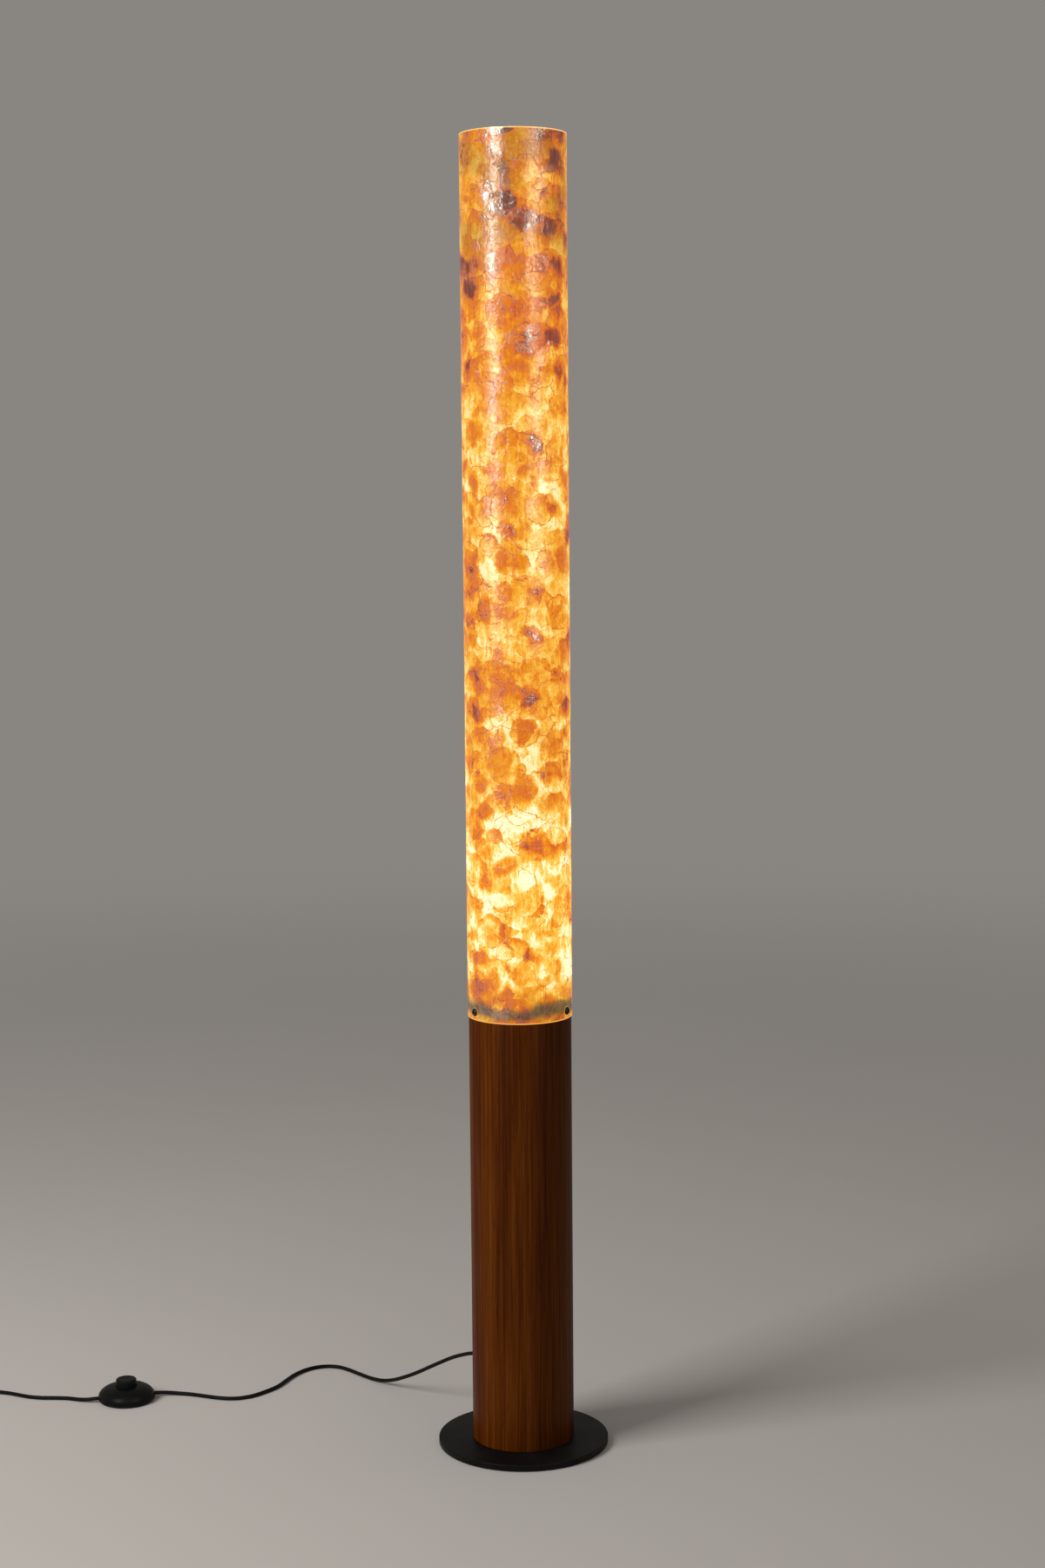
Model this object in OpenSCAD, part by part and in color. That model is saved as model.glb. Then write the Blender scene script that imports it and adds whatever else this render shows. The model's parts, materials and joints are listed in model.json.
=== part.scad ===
// Column floor lamp: a tall glowing tube of laminated shell on a round wooden tube,
// which stands on a round steel plate. The mains cord leaves the wooden tube near the
// floor and runs through a foot switch to a flat two-pin plug.
// The lamp's axis is Z, the floor is z = 0, and the front is towards -Y. Millimetres.

/* [Base plate] */
// Diameter of the steel plate
base_d = 198; // [160:1:260]
// Thickness of the steel plate
plate_t = 7; // [5:0.5:14]
// Diameter of the felt pad under the plate
pad_d = 190; // [140:1:196]
// Thickness of the felt pad
pad_t = 1; // [0.5:0.5:4]
// Bevel on the edges of the plate
plate_bevel = 0.8; // [0.2:0.1:2]
// Diameter of the circle on which the four countersunk screws sit
base_screw_circle = 70; // [40:1:84]
// Shank diameter of the countersunk screws
base_screw_d = 5; // [4:0.5:6]
// Length of the countersunk screws
base_screw_len = 28; // [16:1:34]

/* [Wooden tube] */
// Outer diameter of the wooden tube
wood_d = 118; // [100:1:118]
// Length of the wooden tube
wood_len = 500; // [300:1:700]
// Wall of the wooden tube
wood_wall = 8; // [5:0.5:12]
// Eased edge at both ends of the wooden tube
wood_ease = 0.8; // [0.2:0.1:2]
// Thickness of the wooden disc in the foot of the tube
bottom_plug_t = 30; // [26:1:50]

/* [Shade] */
// Outer diameter of the shade tube
shade_d = 120; // [120:1:150]
// Length of the shade tube
shade_len = 992; // [600:1:1300]
// Wall of the shade tube
shade_wall = 3; // [2:0.5:5]
// Height of the wooden disc that stands inside the foot of the shade
carrier_h = 24; // [20:1:40]
// Depth of that disc's spigot inside the wooden tube
spigot_h = 30; // [24:1:50]
// Height of the fixing screws above the lower edge of the shade
shade_screw_z = 9.5; // [7:0.5:16]
// Number of fixing screws round the shade
shade_screw_count = 3; // [2:1:6]
// Head diameter of the fixing screws
shade_screw_head_d = 9; // [7:0.5:12]
// Shank diameter of the fixing screws
shade_screw_d = 5; // [3:0.5:6]
// Shank length of the fixing screws
shade_screw_len = 16; // [10:1:24]

/* [Lamp holder] */
// Diameter of the threaded tube that carries the holder
nipple_d = 10; // [10:0.5:12]
// Width of the two hexagon nuts across their flats
nut_af = 14; // [13:0.5:15]
// Thickness of the hexagon nuts
nut_t = 4; // [3:0.5:5]
// Outer diameter of the holder
holder_d = 39; // [38:0.5:44]
// Height of the holder's lower cup
cup_h = 20; // [20:1:26]
// Height of the holder's sleeve
sleeve_h = 38; // [36:1:48]

/* [Bulb] */
// Diameter of the bulb
bulb_d = 60; // [50:1:70]
// Length of the bulb from its tip to its top
bulb_len = 108; // [100:1:130]
// Diameter of the screw cap
cap_d = 26.4; // [26:0.1:26.8]
// Length of the screw cap
cap_len = 27; // [24:0.5:29]
// Wall of the bulb's body and globe
bulb_wall = 1.5; // [1:0.1:2.5]

/* [Cord] */
// Diameter of the mains cord
cord_d = 4.6; // [4:0.1:5]
// Height of the cord's exit above the floor
exit_z = 85; // [60:1:140]
// Direction of the exit, counted from +X
exit_az = 131; // [100:1:170]
// Length of the tapered strain relief outside the wood
boot_len = 20; // [16:1:30]
// Outer diameter of the bush in the wood
bush_d = 9; // [8:0.5:12]

/* [Foot switch] */
// Diameter of the switch housing
switch_d = 69; // [64:1:80]
// Height of the switch housing above the floor
switch_h = 18; // [17:0.5:24]
// Wall of the switch housing
switch_wall = 2; // [1.5:0.1:2.5]
// Thickness of the rubber pads under the switch
switch_pad_t = 1; // [0.5:0.1:2]
// Diameter of the push button
button_d = 25; // [20:0.5:26]
// Height of the button's top above the housing
button_up = 9; // [6:0.5:12]
// Travel of the push button
button_travel = 3.5; // [2:0.1:3.5]
// Wire diameter of the button's spring
spring_wire = 0.8; // [0.5:0.1:1]
// Turns of the button's spring
spring_turns = 5; // [4:1:7]

/* [Plug] */
// Width of the plug body
plug_w = 35; // [32:0.5:38]
// Thickness of the plug body
plug_t = 14; // [13:0.5:16]
// Length of the plug body
plug_len = 36; // [30:1:44]
// Diameter of the pins
pin_d = 4; // [4:0.1:4.8]
// Distance between the pins
pin_gap = 19; // [18:0.5:19]
// Free length of the pins
pin_len = 19; // [18:0.5:19]
// Length of the insulating sleeve on each pin
sleeve_len = 10; // [8:0.5:11]
// Length of the plug's tapered strain relief
plug_boot_len = 24; // [20:1:34]

/* [Coil of spare cord] */
// Radius of the outermost turn
coil_r = 34.5; // [33:0.5:40]
// Turns in each of the two layers
coil_turns = 2.875; // [1.875:1:2.875]
// Free space between neighbouring turns
coil_gap = 0.5; // [0.45:0.05:1]

/* [Hidden] */
$fn = 96;

// Clearances
fit = 0.2;      // a disc or sleeve that slips into its seat
screw_fit = 0.1; // a screw in its hole
run_fit = 0.35; // the button in its guide
cord_fit = 0.15; // the cord in a hole

// Heights of the stack, from the floor up
z_plate = pad_t;
z_wood = z_plate + plate_t;
z_joint = z_wood + wood_len;
z_carrier = z_joint + carrier_h;
z_top = z_joint + shade_len;

// Radii of the column
wood_r = wood_d / 2;
wood_in_r = wood_r - wood_wall;
shade_r = shade_d / 2;
shade_in_r = shade_r - shade_wall;
cord_r = cord_d / 2;

// Countersunk screws
base_head_r = base_screw_d * 0.95;
base_head_h = base_head_r - base_screw_d / 2;

// Shade screws: one at the back, the others evenly round the shade
shade_screw_az = 92;
shade_head_h = shade_screw_head_d * 0.3;
shade_head_edge = 0.5;
shade_socket_d = 3;

// Lamp holder
nipple_r = nipple_d / 2;
nipple_bore_r = cord_r + 1;
nut_r = nut_af / 2 / cos(30);
nut_pocket_r = nut_r + 4;
nut_pocket_h = 10;
washer_t = 1.5;
holder_r = holder_d / 2;
holder_wall = 1.8;
cup_floor_t = 3;
cup_neck_r = nut_r + 2.4;
cup_ledge_up = 4;
cup_ledge_w = 1.8;
cup_ledge_t = 1.2;
cup_floor_in = 0.8;
cup_rim_h = 3;       // straight part of the cup below the ledge
z_cup = z_carrier;
z_cup_top = z_cup + cup_h;
z_ledge = z_cup_top - cup_ledge_up;
z_sleeve_top = z_cup_top + sleeve_h;
z_nipple_top = z_cup + cup_floor_t + nut_t + 1;
z_pocket = z_joint - spigot_h + nut_pocket_h;
z_nipple_low = z_pocket - washer_t - nut_t - 2;
insert_r = holder_r - holder_wall - fit;
insert_disc_t = 12;
z_insert = z_ledge + insert_disc_t;
cap_r = cap_d / 2;
shell_in_r = cap_r + 0.7;
shell_t = 0.4;
lip_t = 2;           // thickness of the sleeve's lip round the mouth
lip_out = 0.6;       // distance from the lip to the screw shell
terminal_hole_r = 1.6;
terminal_hole_h = 6;
contact_up = 5;
terminal_w = 5;
terminal_h = 4.5;
terminal_x = 9.5;
wire_r = 0.7;
wire_apart = 1.1;

// Bulb
bulb_r = bulb_d / 2;
z_tip = z_insert + contact_up;
z_cap = z_tip + 3.5;
z_cap_top = z_tip + cap_len;
z_bulb_top = z_tip + bulb_len;
z_globe = z_bulb_top - bulb_r;
globe_cut = 7;
z_rim = z_globe - globe_cut;
rim_r = sqrt(pow(bulb_r, 2) - pow(globe_cut, 2));
in_rim_r = sqrt(pow(bulb_r - bulb_wall, 2) - pow(globe_cut, 2));
cap_t = 0.5;
tip_r = 4.5;
neck_r = cap_r + 0.8;
spigot_fit = 0.15;   // the body's spigot in the screw cap
spigot_wall = 1.35;
spigot_len = 14;
board_t = 1.6;
board_ledge_t = 1.5; // ring inside the body on which the board rests
board_ledge_w = 3.8;
board_sink = 1;      // depth of the board below the body's rim
z_board = z_rim - board_t - board_sink;

// Cord exit: the bush goes through the wood at exit_z
bush_flange_r = bush_d / 2 + 2.5;
bush_flange_t = 1.6;
bush_edge = 0.4;
bush_thread_end = 1; // length of the bush past its nut
bush_bore_r = cord_r + cord_fit;
bush_nut_af = bush_d + 4;
bush_nut_r = bush_nut_af / 2 / cos(30);
bush_nut_t = 4;
bush_nut_seat = sqrt(pow(wood_in_r, 2) - pow(bush_nut_r, 2)) - 0.05;
boot_root_r = cord_r + 1.9;
boot_tip_r = cord_r + 0.9;
tip_out = wood_r + bush_flange_t + boot_len;
exit_dir = [cos(exit_az), sin(exit_az), 0];
exit_side = [-sin(exit_az), cos(exit_az), 0];

// Foot switch: centre on the floor and direction of the cord through it
switch_x = -489;
switch_y = 149;
switch_az = 15;
switch_dir = [cos(switch_az), sin(switch_az), 0];
switch_r = switch_d / 2;
switch_in_r = switch_r - switch_wall;
z_split = 5;
z_sw_floor = switch_pad_t + switch_wall;
button_r = button_d / 2;
collar_w = 1.4;
opening_r = button_r + run_fit;
collar_r = opening_r + collar_w;
z_roof = switch_h - switch_wall;
button_wall = 1.6;
button_top_t = 2.2;
z_button = switch_h + button_up;
z_button_in = z_button - button_top_t;
flange_r = collar_r - 0.2;
flange_t = 2;
z_flange = z_roof - 0.2;
stem_r = 3;
core_r = 8;
z_core = 10.5;
z_stem = z_core - 2.3;
core_bore_r = stem_r + 0.3;
z_core_bore = z_stem - button_travel - 0.5;
latch_slot_w = 1.6;
latch_slot_h = 1.5;
spring_r = 5.2;
spring_rest = 0.05;  // gap between the spring and what it presses on
cord_in = 21;
clamp_x = cord_in + 3;
clamp_y = cord_r + 3.2;
clamp_w = 4;
clamp_len = 2 * clamp_y + 4;
clamp_h = 2.4;
clamp_screw_len = 5.5;
z_clamp = z_split + cord_r + 0.1;
post_r = 2;
small_screw_r = 1.1;
small_head_r = 1.9;
small_head_h = 1.2;
boss_r = 3;
boss_at = switch_r - 8;
housing_screw_r = 1.4;
housing_head_r = 2.5;
housing_head_h = 1.2;
housing_screw_len = 9;
sw_block_x = 15;
sw_block_y = 6;
sw_block_w = 5;
contact_t = 0.6;
contact_x = core_r + 1.5;
contact_w = 4;
contact_h = 6;
sw_pad_r = 5;
sw_pad_at = switch_r - 9;

// Plug: it lies flat on the floor with its pins towards -Y
coil_x = -702;
coil_y = 150;
coil_start = 90;
coil_lead = cord_d;
coil_tail = 12;
coil_pitch = cord_d + coil_gap;
coil_rings = 24;
coil_sides = 6;
z_cord = cord_r + 0.1;
z_upper = z_cord + coil_pitch;
plug_x = coil_x - coil_r;
plug_y = coil_y - coil_tail - plug_boot_len;
pin_seat = 8;
pin_core_r = pin_d / 2 - 0.6;
pin_tip = 0.7;
sleeve_step = 0.2;   // the sleeve is this much thinner than the bare end of the pin
sleeve_grip = 0.05;  // moulded round the pin, drawn with this gap
plug_face_w = plug_w - 10;
plug_neck_w = 12;
plug_straight = 10;
plug_edge = 2;       // bevel at the cord's end of the body
plug_boot_root_r = cord_r + 2.6;
plug_boot_tip_r = cord_r + 1;

// The route of the cord from the lamp to the switch, behind and to the left of the
// lamp: out of the strain relief, down in an arc to the floor, round a wide loop and
// along the floor
lamp_route = [
  [-60.5, 69, 82.5], [-70.5, 80, 77.5], [-85, 95.5, 68.5], [-99.5, 111, 57.5],
  [-114.5, 127.5, 45.5], [-129.5, 143.5, 33.5], [-144.5, 160, 22.5], [-160, 177, 12.5],
  [-175.5, 194, 5.5], [-191, 210.5, 2.7], [-206.5, 227, 2.4], [-221.5, 243.5, 2.4],
  [-234.5, 254, 2.4], [-249, 257.5, 2.4], [-263.5, 254, 2.4], [-277.5, 243, 2.4],
  [-289.5, 225, 2.4], [-298, 204.5, 2.4], [-306, 185, 2.4], [-318, 168, 2.4],
  [-333, 152.5, 2.4], [-347.5, 144.5, 2.4], [-362, 143, 2.4], [-377, 146, 2.4],
  [-395, 153, 2.4], [-411, 159, 2.4], [-427, 162, 2.8], [-441, 161.5, 4]
];
// The route from the switch to the coil, along the floor and out of the view's left edge
plug_route = [
  [-535, 139.2, 4], [-547, 143, 2.8], [-562, 148.5, 2.4], [-579, 150, 2.4],
  [-595, 151, 2.4], [-610.5, 155, 2.4], [-626, 162.5, 2.4], [-638.5, 168.5, 2.4],
  [-650, 172.5, 2.4], [-664, 177, 2.4], [-680, 182, 2.4]
];

// ---- Curves -----------------------------------------------------------------

// Vector of length one along v
function unit(v) = v / norm(v);

// Point at t on the curve from b to c, whose neighbours are a and d
function spline_point(a, b, c, d, t) =
  0.5 * (2 * b + (c - a) * t + (2 * a - 5 * b + 4 * c - d) * t * t
         + (3 * b - a - 3 * c + d) * t * t * t);

// Smooth path through all points p, with the given steps from each to the next
function smooth(p, steps) = let (n = len(p)) [
  for (i = [0:n - 2])
    let (a = i > 0 ? p[i - 1] : 2 * p[0] - p[1],
         d = i < n - 2 ? p[i + 2] : 2 * p[n - 1] - p[n - 2])
      for (k = [0:steps - 1]) spline_point(a, p[i], p[i + 1], d, k / steps),
  p[n - 1]
];

// Direction of the path p at its point i
function heading(p, i) = unit(p[min(i + 1, len(p) - 1)] - p[max(i - 1, 0)]);

// Ring of points round c, square to the direction t; side lies across t
function ring(c, t, side, r, sides) = let (u = unit(cross(side, t)), v = cross(t, u))
  [for (k = [0:sides - 1]) c + r * (cos(360 * k / sides) * u + sin(360 * k / sides) * v)];

// Solid tube of radius r along a path, closed at both ends. The end faces are square
// to first and last
module tube(path, r, sides, side, first, last) {
  n = len(path);
  points = [for (i = [0:n - 1])
    each ring(path[i], i == 0 ? first : i == n - 1 ? last : heading(path, i),
              side, r, sides)];
  walls = [for (i = [0:n - 2]) for (k = [0:sides - 1])
    let (a = i * sides + k, b = i * sides + (k + 1) % sides)
      each [[a, a + sides, b], [b, a + sides, b + sides]]];
  low_cap = [for (k = [1:sides - 2]) [0, k, k + 1]];
  top = (n - 1) * sides;
  high_cap = [for (k = [1:sides - 2]) [top, top + k + 1, top + k]];
  polyhedron(points, concat(walls, low_cap, high_cap));
}

// Points on a quarter ellipse from angle from to angle to, about the point c
function arc(c, rx, rz, from, to, steps) =
  [for (k = [0:steps]) let (a = from + (to - from) * k / steps)
    [c[0] + rx * cos(a), c[1] + rz * sin(a)]];

// A ring whose section is a rectangle
module collar(r_in, r_out, z0, z1) {
  rotate_extrude() translate([r_in, z0]) square([r_out - r_in, z1 - z0]);
}

// A ring with bevels on its two outer edges
module bevelled_collar(r_in, r_out, z0, z1, bevel) {
  rotate_extrude() polygon([
    [r_in, z0], [r_out - bevel, z0], [r_out, z0 + bevel], [r_out, z1 - bevel],
    [r_out - bevel, z1], [r_in, z1]
  ]);
}

// Hexagon nut with a round hole, from z0 up
module nut(af, hole_r, z0, t) {
  translate([0, 0, z0]) difference() {
    cylinder(r = af / 2 / cos(30), h = t, $fn = 6);
    translate([0, 0, -1]) cylinder(r = hole_r, h = t + 2);
  }
}

// Places its children at the cord's exit: their Z runs outwards from the lamp's axis
module at_exit() {
  translate([0, 0, exit_z]) rotate([0, 0, exit_az]) rotate([0, 90, 0]) children();
}

// Places its children in the switch: their X runs along the cord towards the lamp
module at_switch() {
  translate([switch_x, switch_y, 0]) rotate([0, 0, switch_az]) children();
}

// Places its children round the shade at each fixing screw, with Z pointing outwards
module at_shade_screws() {
  for (i = [0:shade_screw_count - 1])
    translate([0, 0, z_joint + shade_screw_z])
      rotate([0, 0, shade_screw_az + 360 * i / shade_screw_count])
        rotate([0, 90, 0]) children();
}

// Places its children at the four screws in the base plate
module at_base_screws() {
  for (i = [0:3])
    rotate([0, 0, 45 + 90 * i]) translate([base_screw_circle / 2, 0, 0]) children();
}

// Places its children at the three screws that hold the switch together
module at_housing_screws() {
  for (i = [0:2]) rotate([0, 0, 90 + 120 * i]) translate([boss_at, 0, 0]) children();
}

// Places its children at the four screws of the two cord clamps
module at_clamp_screws() {
  for (sx = [-1, 1], sy = [-1, 1]) translate([sx * clamp_x, sy * clamp_y, 0]) children();
}

// ---- Base and wooden tube -----------------------------------------------------

module floor_pad() {
  color("dimgray") cylinder(d = pad_d, h = pad_t);
}

module base_plate() {
  color([0.06, 0.06, 0.06]) difference() {
    bevelled_collar(0, base_d / 2, z_plate, z_wood, plate_bevel);
    at_base_screws() {
      translate([0, 0, z_plate - 1]) cylinder(r = base_screw_d / 2 + screw_fit, h = plate_t + 2);
      translate([0, 0, z_plate])
        cylinder(r1 = base_head_r + screw_fit, r2 = base_screw_d / 2 + screw_fit,
                 h = base_head_h);
      translate([0, 0, z_plate - 1]) cylinder(r = base_head_r + screw_fit, h = 1);
    }
  }
}

module base_screws() {
  color("silver") at_base_screws() translate([0, 0, z_plate]) {
    cylinder(r1 = base_head_r, r2 = base_screw_d / 2, h = base_head_h);
    translate([0, 0, base_head_h]) cylinder(d = base_screw_d, h = base_screw_len - base_head_h);
  }
}

module bottom_plug() {
  color("tan") difference() {
    translate([0, 0, z_wood]) cylinder(r = wood_in_r - fit, h = bottom_plug_t);
    at_base_screws() translate([0, 0, z_wood - 1])
      cylinder(r = base_screw_d / 2 + screw_fit, h = base_screw_len - plate_t + 2);
  }
}

module wood_tube() {
  color([0.36, 0.17, 0.07]) difference() {
    bevelled_collar(wood_in_r, wood_r, z_wood, z_joint, wood_ease);
    at_exit() cylinder(r = bush_d / 2 + fit, h = wood_r + 5);
  }
}

// ---- Cord exit ------------------------------------------------------------------

module cord_bush() {
  inside = bush_nut_seat - bush_nut_t - bush_thread_end;
  flange = wood_r + bush_flange_t;
  color([0.05, 0.05, 0.05]) at_exit() rotate_extrude() polygon([
    [bush_bore_r, inside], [bush_d / 2, inside], [bush_d / 2, wood_r], [bush_flange_r, wood_r],
    [bush_flange_r, flange - bush_edge], [bush_flange_r - bush_edge, flange],
    [boot_root_r, flange], [boot_tip_r, tip_out - bush_edge], [boot_tip_r - bush_edge, tip_out],
    [bush_bore_r, tip_out]
  ]);
}

module bush_nut() {
  color([0.08, 0.08, 0.08]) at_exit()
    nut(bush_nut_af, bush_d / 2 + screw_fit, bush_nut_seat - bush_nut_t, bush_nut_t);
}

// Cord inside the column: through the bush, then up the middle into the lamp holder
module inner_cord() {
  bend = [for (p = [[42, 0], [30, 2], [19, 8], [9, 19], [2.5, 34], [0, 52]])
    exit_dir * p[0] + [0, 0, exit_z + p[1]]];
  straight = [for (out = [tip_out, 70, 56]) exit_dir * out + [0, 0, exit_z]];
  rise = [for (z = [exit_z + 80, z_nipple_low, z_nipple_top + 1]) [0, 0, z]];
  color([0.1, 0.1, 0.1])
    tube(concat(straight, smooth(bend, 3), rise), cord_r, 8, exit_side, -exit_dir, [0, 0, 1]);
}

// ---- Shade ----------------------------------------------------------------------

// Wooden disc: its spigot fills the top of the wooden tube, and the shade slips over
// its upper part
module shade_carrier() {
  color("tan") difference() {
    union() {
      translate([0, 0, z_joint - spigot_h]) cylinder(r = wood_in_r - fit, h = spigot_h);
      translate([0, 0, z_joint]) cylinder(r = shade_in_r - fit, h = carrier_h);
    }
    translate([0, 0, z_joint - spigot_h - 1]) cylinder(r = nut_pocket_r, h = nut_pocket_h + 1);
    translate([0, 0, z_joint - spigot_h]) cylinder(r = nipple_r + screw_fit,
                                                   h = spigot_h + carrier_h + 1);
    at_shade_screws() translate([0, 0, shade_r - shade_screw_len - 1])
      cylinder(r = shade_screw_d / 2 + screw_fit, h = shade_screw_len + 5);
  }
}

module shade_tube() {
  color([0.95, 0.6, 0.2]) difference() {
    collar(shade_in_r, shade_r, z_joint, z_top);
    at_shade_screws() cylinder(r = shade_screw_d / 2 + fit, h = shade_r + 5);
  }
}

module shade_screws() {
  head_r = shade_screw_head_d / 2;
  color([0.05, 0.05, 0.05]) at_shade_screws() difference() {
    union() {
      translate([0, 0, shade_r - shade_screw_len])
        cylinder(d = shade_screw_d, h = shade_screw_len);
      translate([0, 0, shade_r]) rotate_extrude()
        polygon(concat([[0, 0], [head_r, 0], [head_r, shade_head_edge]],
                       arc([head_r * 0.45, shade_head_edge], head_r * 0.55,
                           shade_head_h - shade_head_edge, 15, 90, 5),
                       [[0, shade_head_h]]));
    }
    translate([0, 0, shade_r + shade_head_h * 0.35])
      cylinder(d = shade_socket_d, h = shade_head_h, $fn = 6);
  }
}

// ---- Lamp holder ------------------------------------------------------------------

module holder_nipple() {
  color("goldenrod") collar(nipple_bore_r, nipple_r, z_nipple_low, z_nipple_top);
}

module nipple_nuts() {
  color("silver") {
    nut(nut_af, nipple_r + screw_fit, z_pocket - washer_t - nut_t, nut_t);
    nut(nut_af, nipple_r + screw_fit, z_cup + cup_floor_t, nut_t);
  }
}

module nipple_washer() {
  color("silver") collar(nipple_r + fit, nut_r + 2.5, z_pocket - washer_t, z_pocket);
}

module holder_cup() {
  ledge_r = insert_r + fit - cup_ledge_w;
  color([0.12, 0.12, 0.12]) rotate_extrude() polygon([
    [nipple_r + screw_fit, z_cup], [cup_neck_r, z_cup], [holder_r, z_ledge - cup_rim_h],
    [holder_r, z_cup_top], [insert_r + fit, z_cup_top], [insert_r + fit, z_ledge],
    [ledge_r, z_ledge], [ledge_r, z_ledge - cup_ledge_t],
    [cup_neck_r - cup_floor_in, z_cup + cup_floor_t],
    [nipple_r + screw_fit, z_cup + cup_floor_t]
  ]);
}

module holder_insert() {
  color("white") difference() {
    union() {
      translate([0, 0, z_ledge]) cylinder(r = insert_r, h = insert_disc_t);
      collar(shell_in_r + shell_t + fit, insert_r, z_insert - 1, z_sleeve_top - lip_t - fit);
    }
    for (s = [-1, 1]) translate([s * terminal_x, 0, z_ledge - 1])
      cylinder(r = terminal_hole_r, h = terminal_hole_h + 1);
  }
}

module holder_sleeve() {
  lip_r = shell_in_r + shell_t + lip_out;
  color([0.12, 0.12, 0.12]) rotate_extrude() polygon([
    [insert_r + fit, z_cup_top], [holder_r, z_cup_top], [holder_r, z_sleeve_top - 1],
    [holder_r - 1, z_sleeve_top], [lip_r, z_sleeve_top], [lip_r, z_sleeve_top - lip_t],
    [insert_r + fit, z_sleeve_top - lip_t]
  ]);
}

module screw_shell() {
  top = z_sleeve_top - lip_t - 1;
  color("gold") rotate_extrude() polygon([
    [tip_r + 3, z_insert], [shell_in_r + shell_t, z_insert], [shell_in_r + shell_t, top],
    [shell_in_r, top], [shell_in_r, z_insert + shell_t], [tip_r + 3, z_insert + shell_t]
  ]);
}

// Spring tongue that touches the tip of the bulb
module centre_contact() {
  tongue = 5;
  color("gold") translate([0, -tongue / 2, 0]) rotate([90, 0, 0]) mirror([0, 0, 1])
    linear_extrude(tongue) polygon([
      [-tip_r, z_insert], [tip_r, z_insert], [tip_r, z_insert + shell_t],
      [-tip_r + 1, z_insert + shell_t], [-tip_r + 2.5, z_tip - shell_t],
      [tip_r - 1, z_tip - shell_t], [tip_r - 1, z_tip], [-tip_r + 2, z_tip],
      [-tip_r, z_insert + shell_t]
    ]);
}

module holder_terminals() {
  color("gold") for (s = [-1, 1]) translate([s * terminal_x, 0, z_ledge - terminal_h])
    difference() {
      translate([-terminal_w / 2, -terminal_w / 2, 0])
        cube([terminal_w, terminal_w, terminal_h]);
      translate([0, 0, -1]) cylinder(r = small_screw_r + screw_fit, h = terminal_h + 2);
    }
}

// The two cores of the cord, from its end to the holder's terminals
module holder_wires() {
  z_end = z_nipple_top + 1;
  z_terminal = z_ledge - terminal_h / 2;
  color("peru") for (s = [-1, 1]) {
    points = [[s * wire_apart, 0, z_end], [s * wire_apart, 0, z_end + 1],
              [s * (wire_apart + 2.4), 0, z_terminal - 0.4],
              [s * (terminal_x - terminal_w / 2), 0, z_terminal]];
    tube(smooth(points, 3), wire_r, 8, [0, 1, 0], [0, 0, 1], [s, 0, 0]);
  }
}

// ---- Bulb -------------------------------------------------------------------------

module bulb_cap() {
  color("silver") rotate_extrude() polygon([
    [cap_r - 2.7, z_cap], [cap_r - 2.2, z_cap], [cap_r, z_cap + 2.2], [cap_r, z_cap_top],
    [cap_r - cap_t, z_cap_top], [cap_r - cap_t, z_cap + 2.5]
  ]);
}

module bulb_insulator() {
  color([0.1, 0.1, 0.12]) rotate_extrude() polygon([
    [tip_r, z_tip + 0.6], [tip_r + 1, z_tip + 0.6], [cap_r - 2.8, z_cap - 0.1],
    [cap_r - 2.9, z_cap + 1.2], [tip_r, z_cap + 1.2]
  ]);
}

module bulb_contact() {
  color("silver") translate([0, 0, z_tip]) cylinder(r = tip_r - 0.05, h = 2.4);
}

// White plastic body: an S-shaped neck that widens to meet the globe
module bulb_body() {
  steps = 10;
  outer = [for (k = [0:steps]) let (t = k / steps)
    [neck_r + (rim_r - neck_r) * t * t * (3 - 2 * t), z_cap_top + (z_rim - z_cap_top) * t]];
  inner = [for (k = [steps:-1:1]) let (t = k / steps, shift = in_rim_r - rim_r)
    [neck_r + shift + (rim_r - neck_r) * t * t * (3 - 2 * t),
     z_cap_top + (z_rim - z_cap_top) * t]];
  spigot_r = cap_r - cap_t - spigot_fit;
  spigot = [[spigot_r - spigot_wall, z_cap_top], [spigot_r - spigot_wall, z_cap_top - spigot_len],
            [spigot_r, z_cap_top - spigot_len], [spigot_r, z_cap_top]];
  color("white") {
    rotate_extrude() polygon(concat(outer, inner, spigot));
    collar(in_rim_r - board_ledge_w, in_rim_r + 0.2, z_board - board_ledge_t, z_board);
  }
}

module led_board() {
  color("whitesmoke") translate([0, 0, z_board]) cylinder(r = in_rim_r - 1.2, h = board_t);
}

module bulb_globe() {
  low = asin(globe_cut / bulb_r);
  low_in = asin(globe_cut / (bulb_r - bulb_wall));
  color([1, 0.95, 0.85]) rotate_extrude() polygon(concat(
    arc([0, z_globe], bulb_r, bulb_r, -low, 90, 16),
    arc([0, z_globe], bulb_r - bulb_wall, bulb_r - bulb_wall, 90, -low_in, 16)));
}

// ---- Foot switch ------------------------------------------------------------------

// Round channels through which the cord enters on both sides
module cord_ports() {
  for (s = [0, 180]) rotate([0, 0, s]) translate([cord_in - 0.5, 0, z_split])
    rotate([0, 90, 0]) cylinder(r = cord_r + cord_fit, h = switch_r);
}

module switch_pads() {
  color([0.1, 0.1, 0.1]) at_switch() for (i = [0:2])
    rotate([0, 0, 30 + 120 * i]) translate([sw_pad_at, 0, 0])
      cylinder(r = sw_pad_r, h = switch_pad_t);
}

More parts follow.
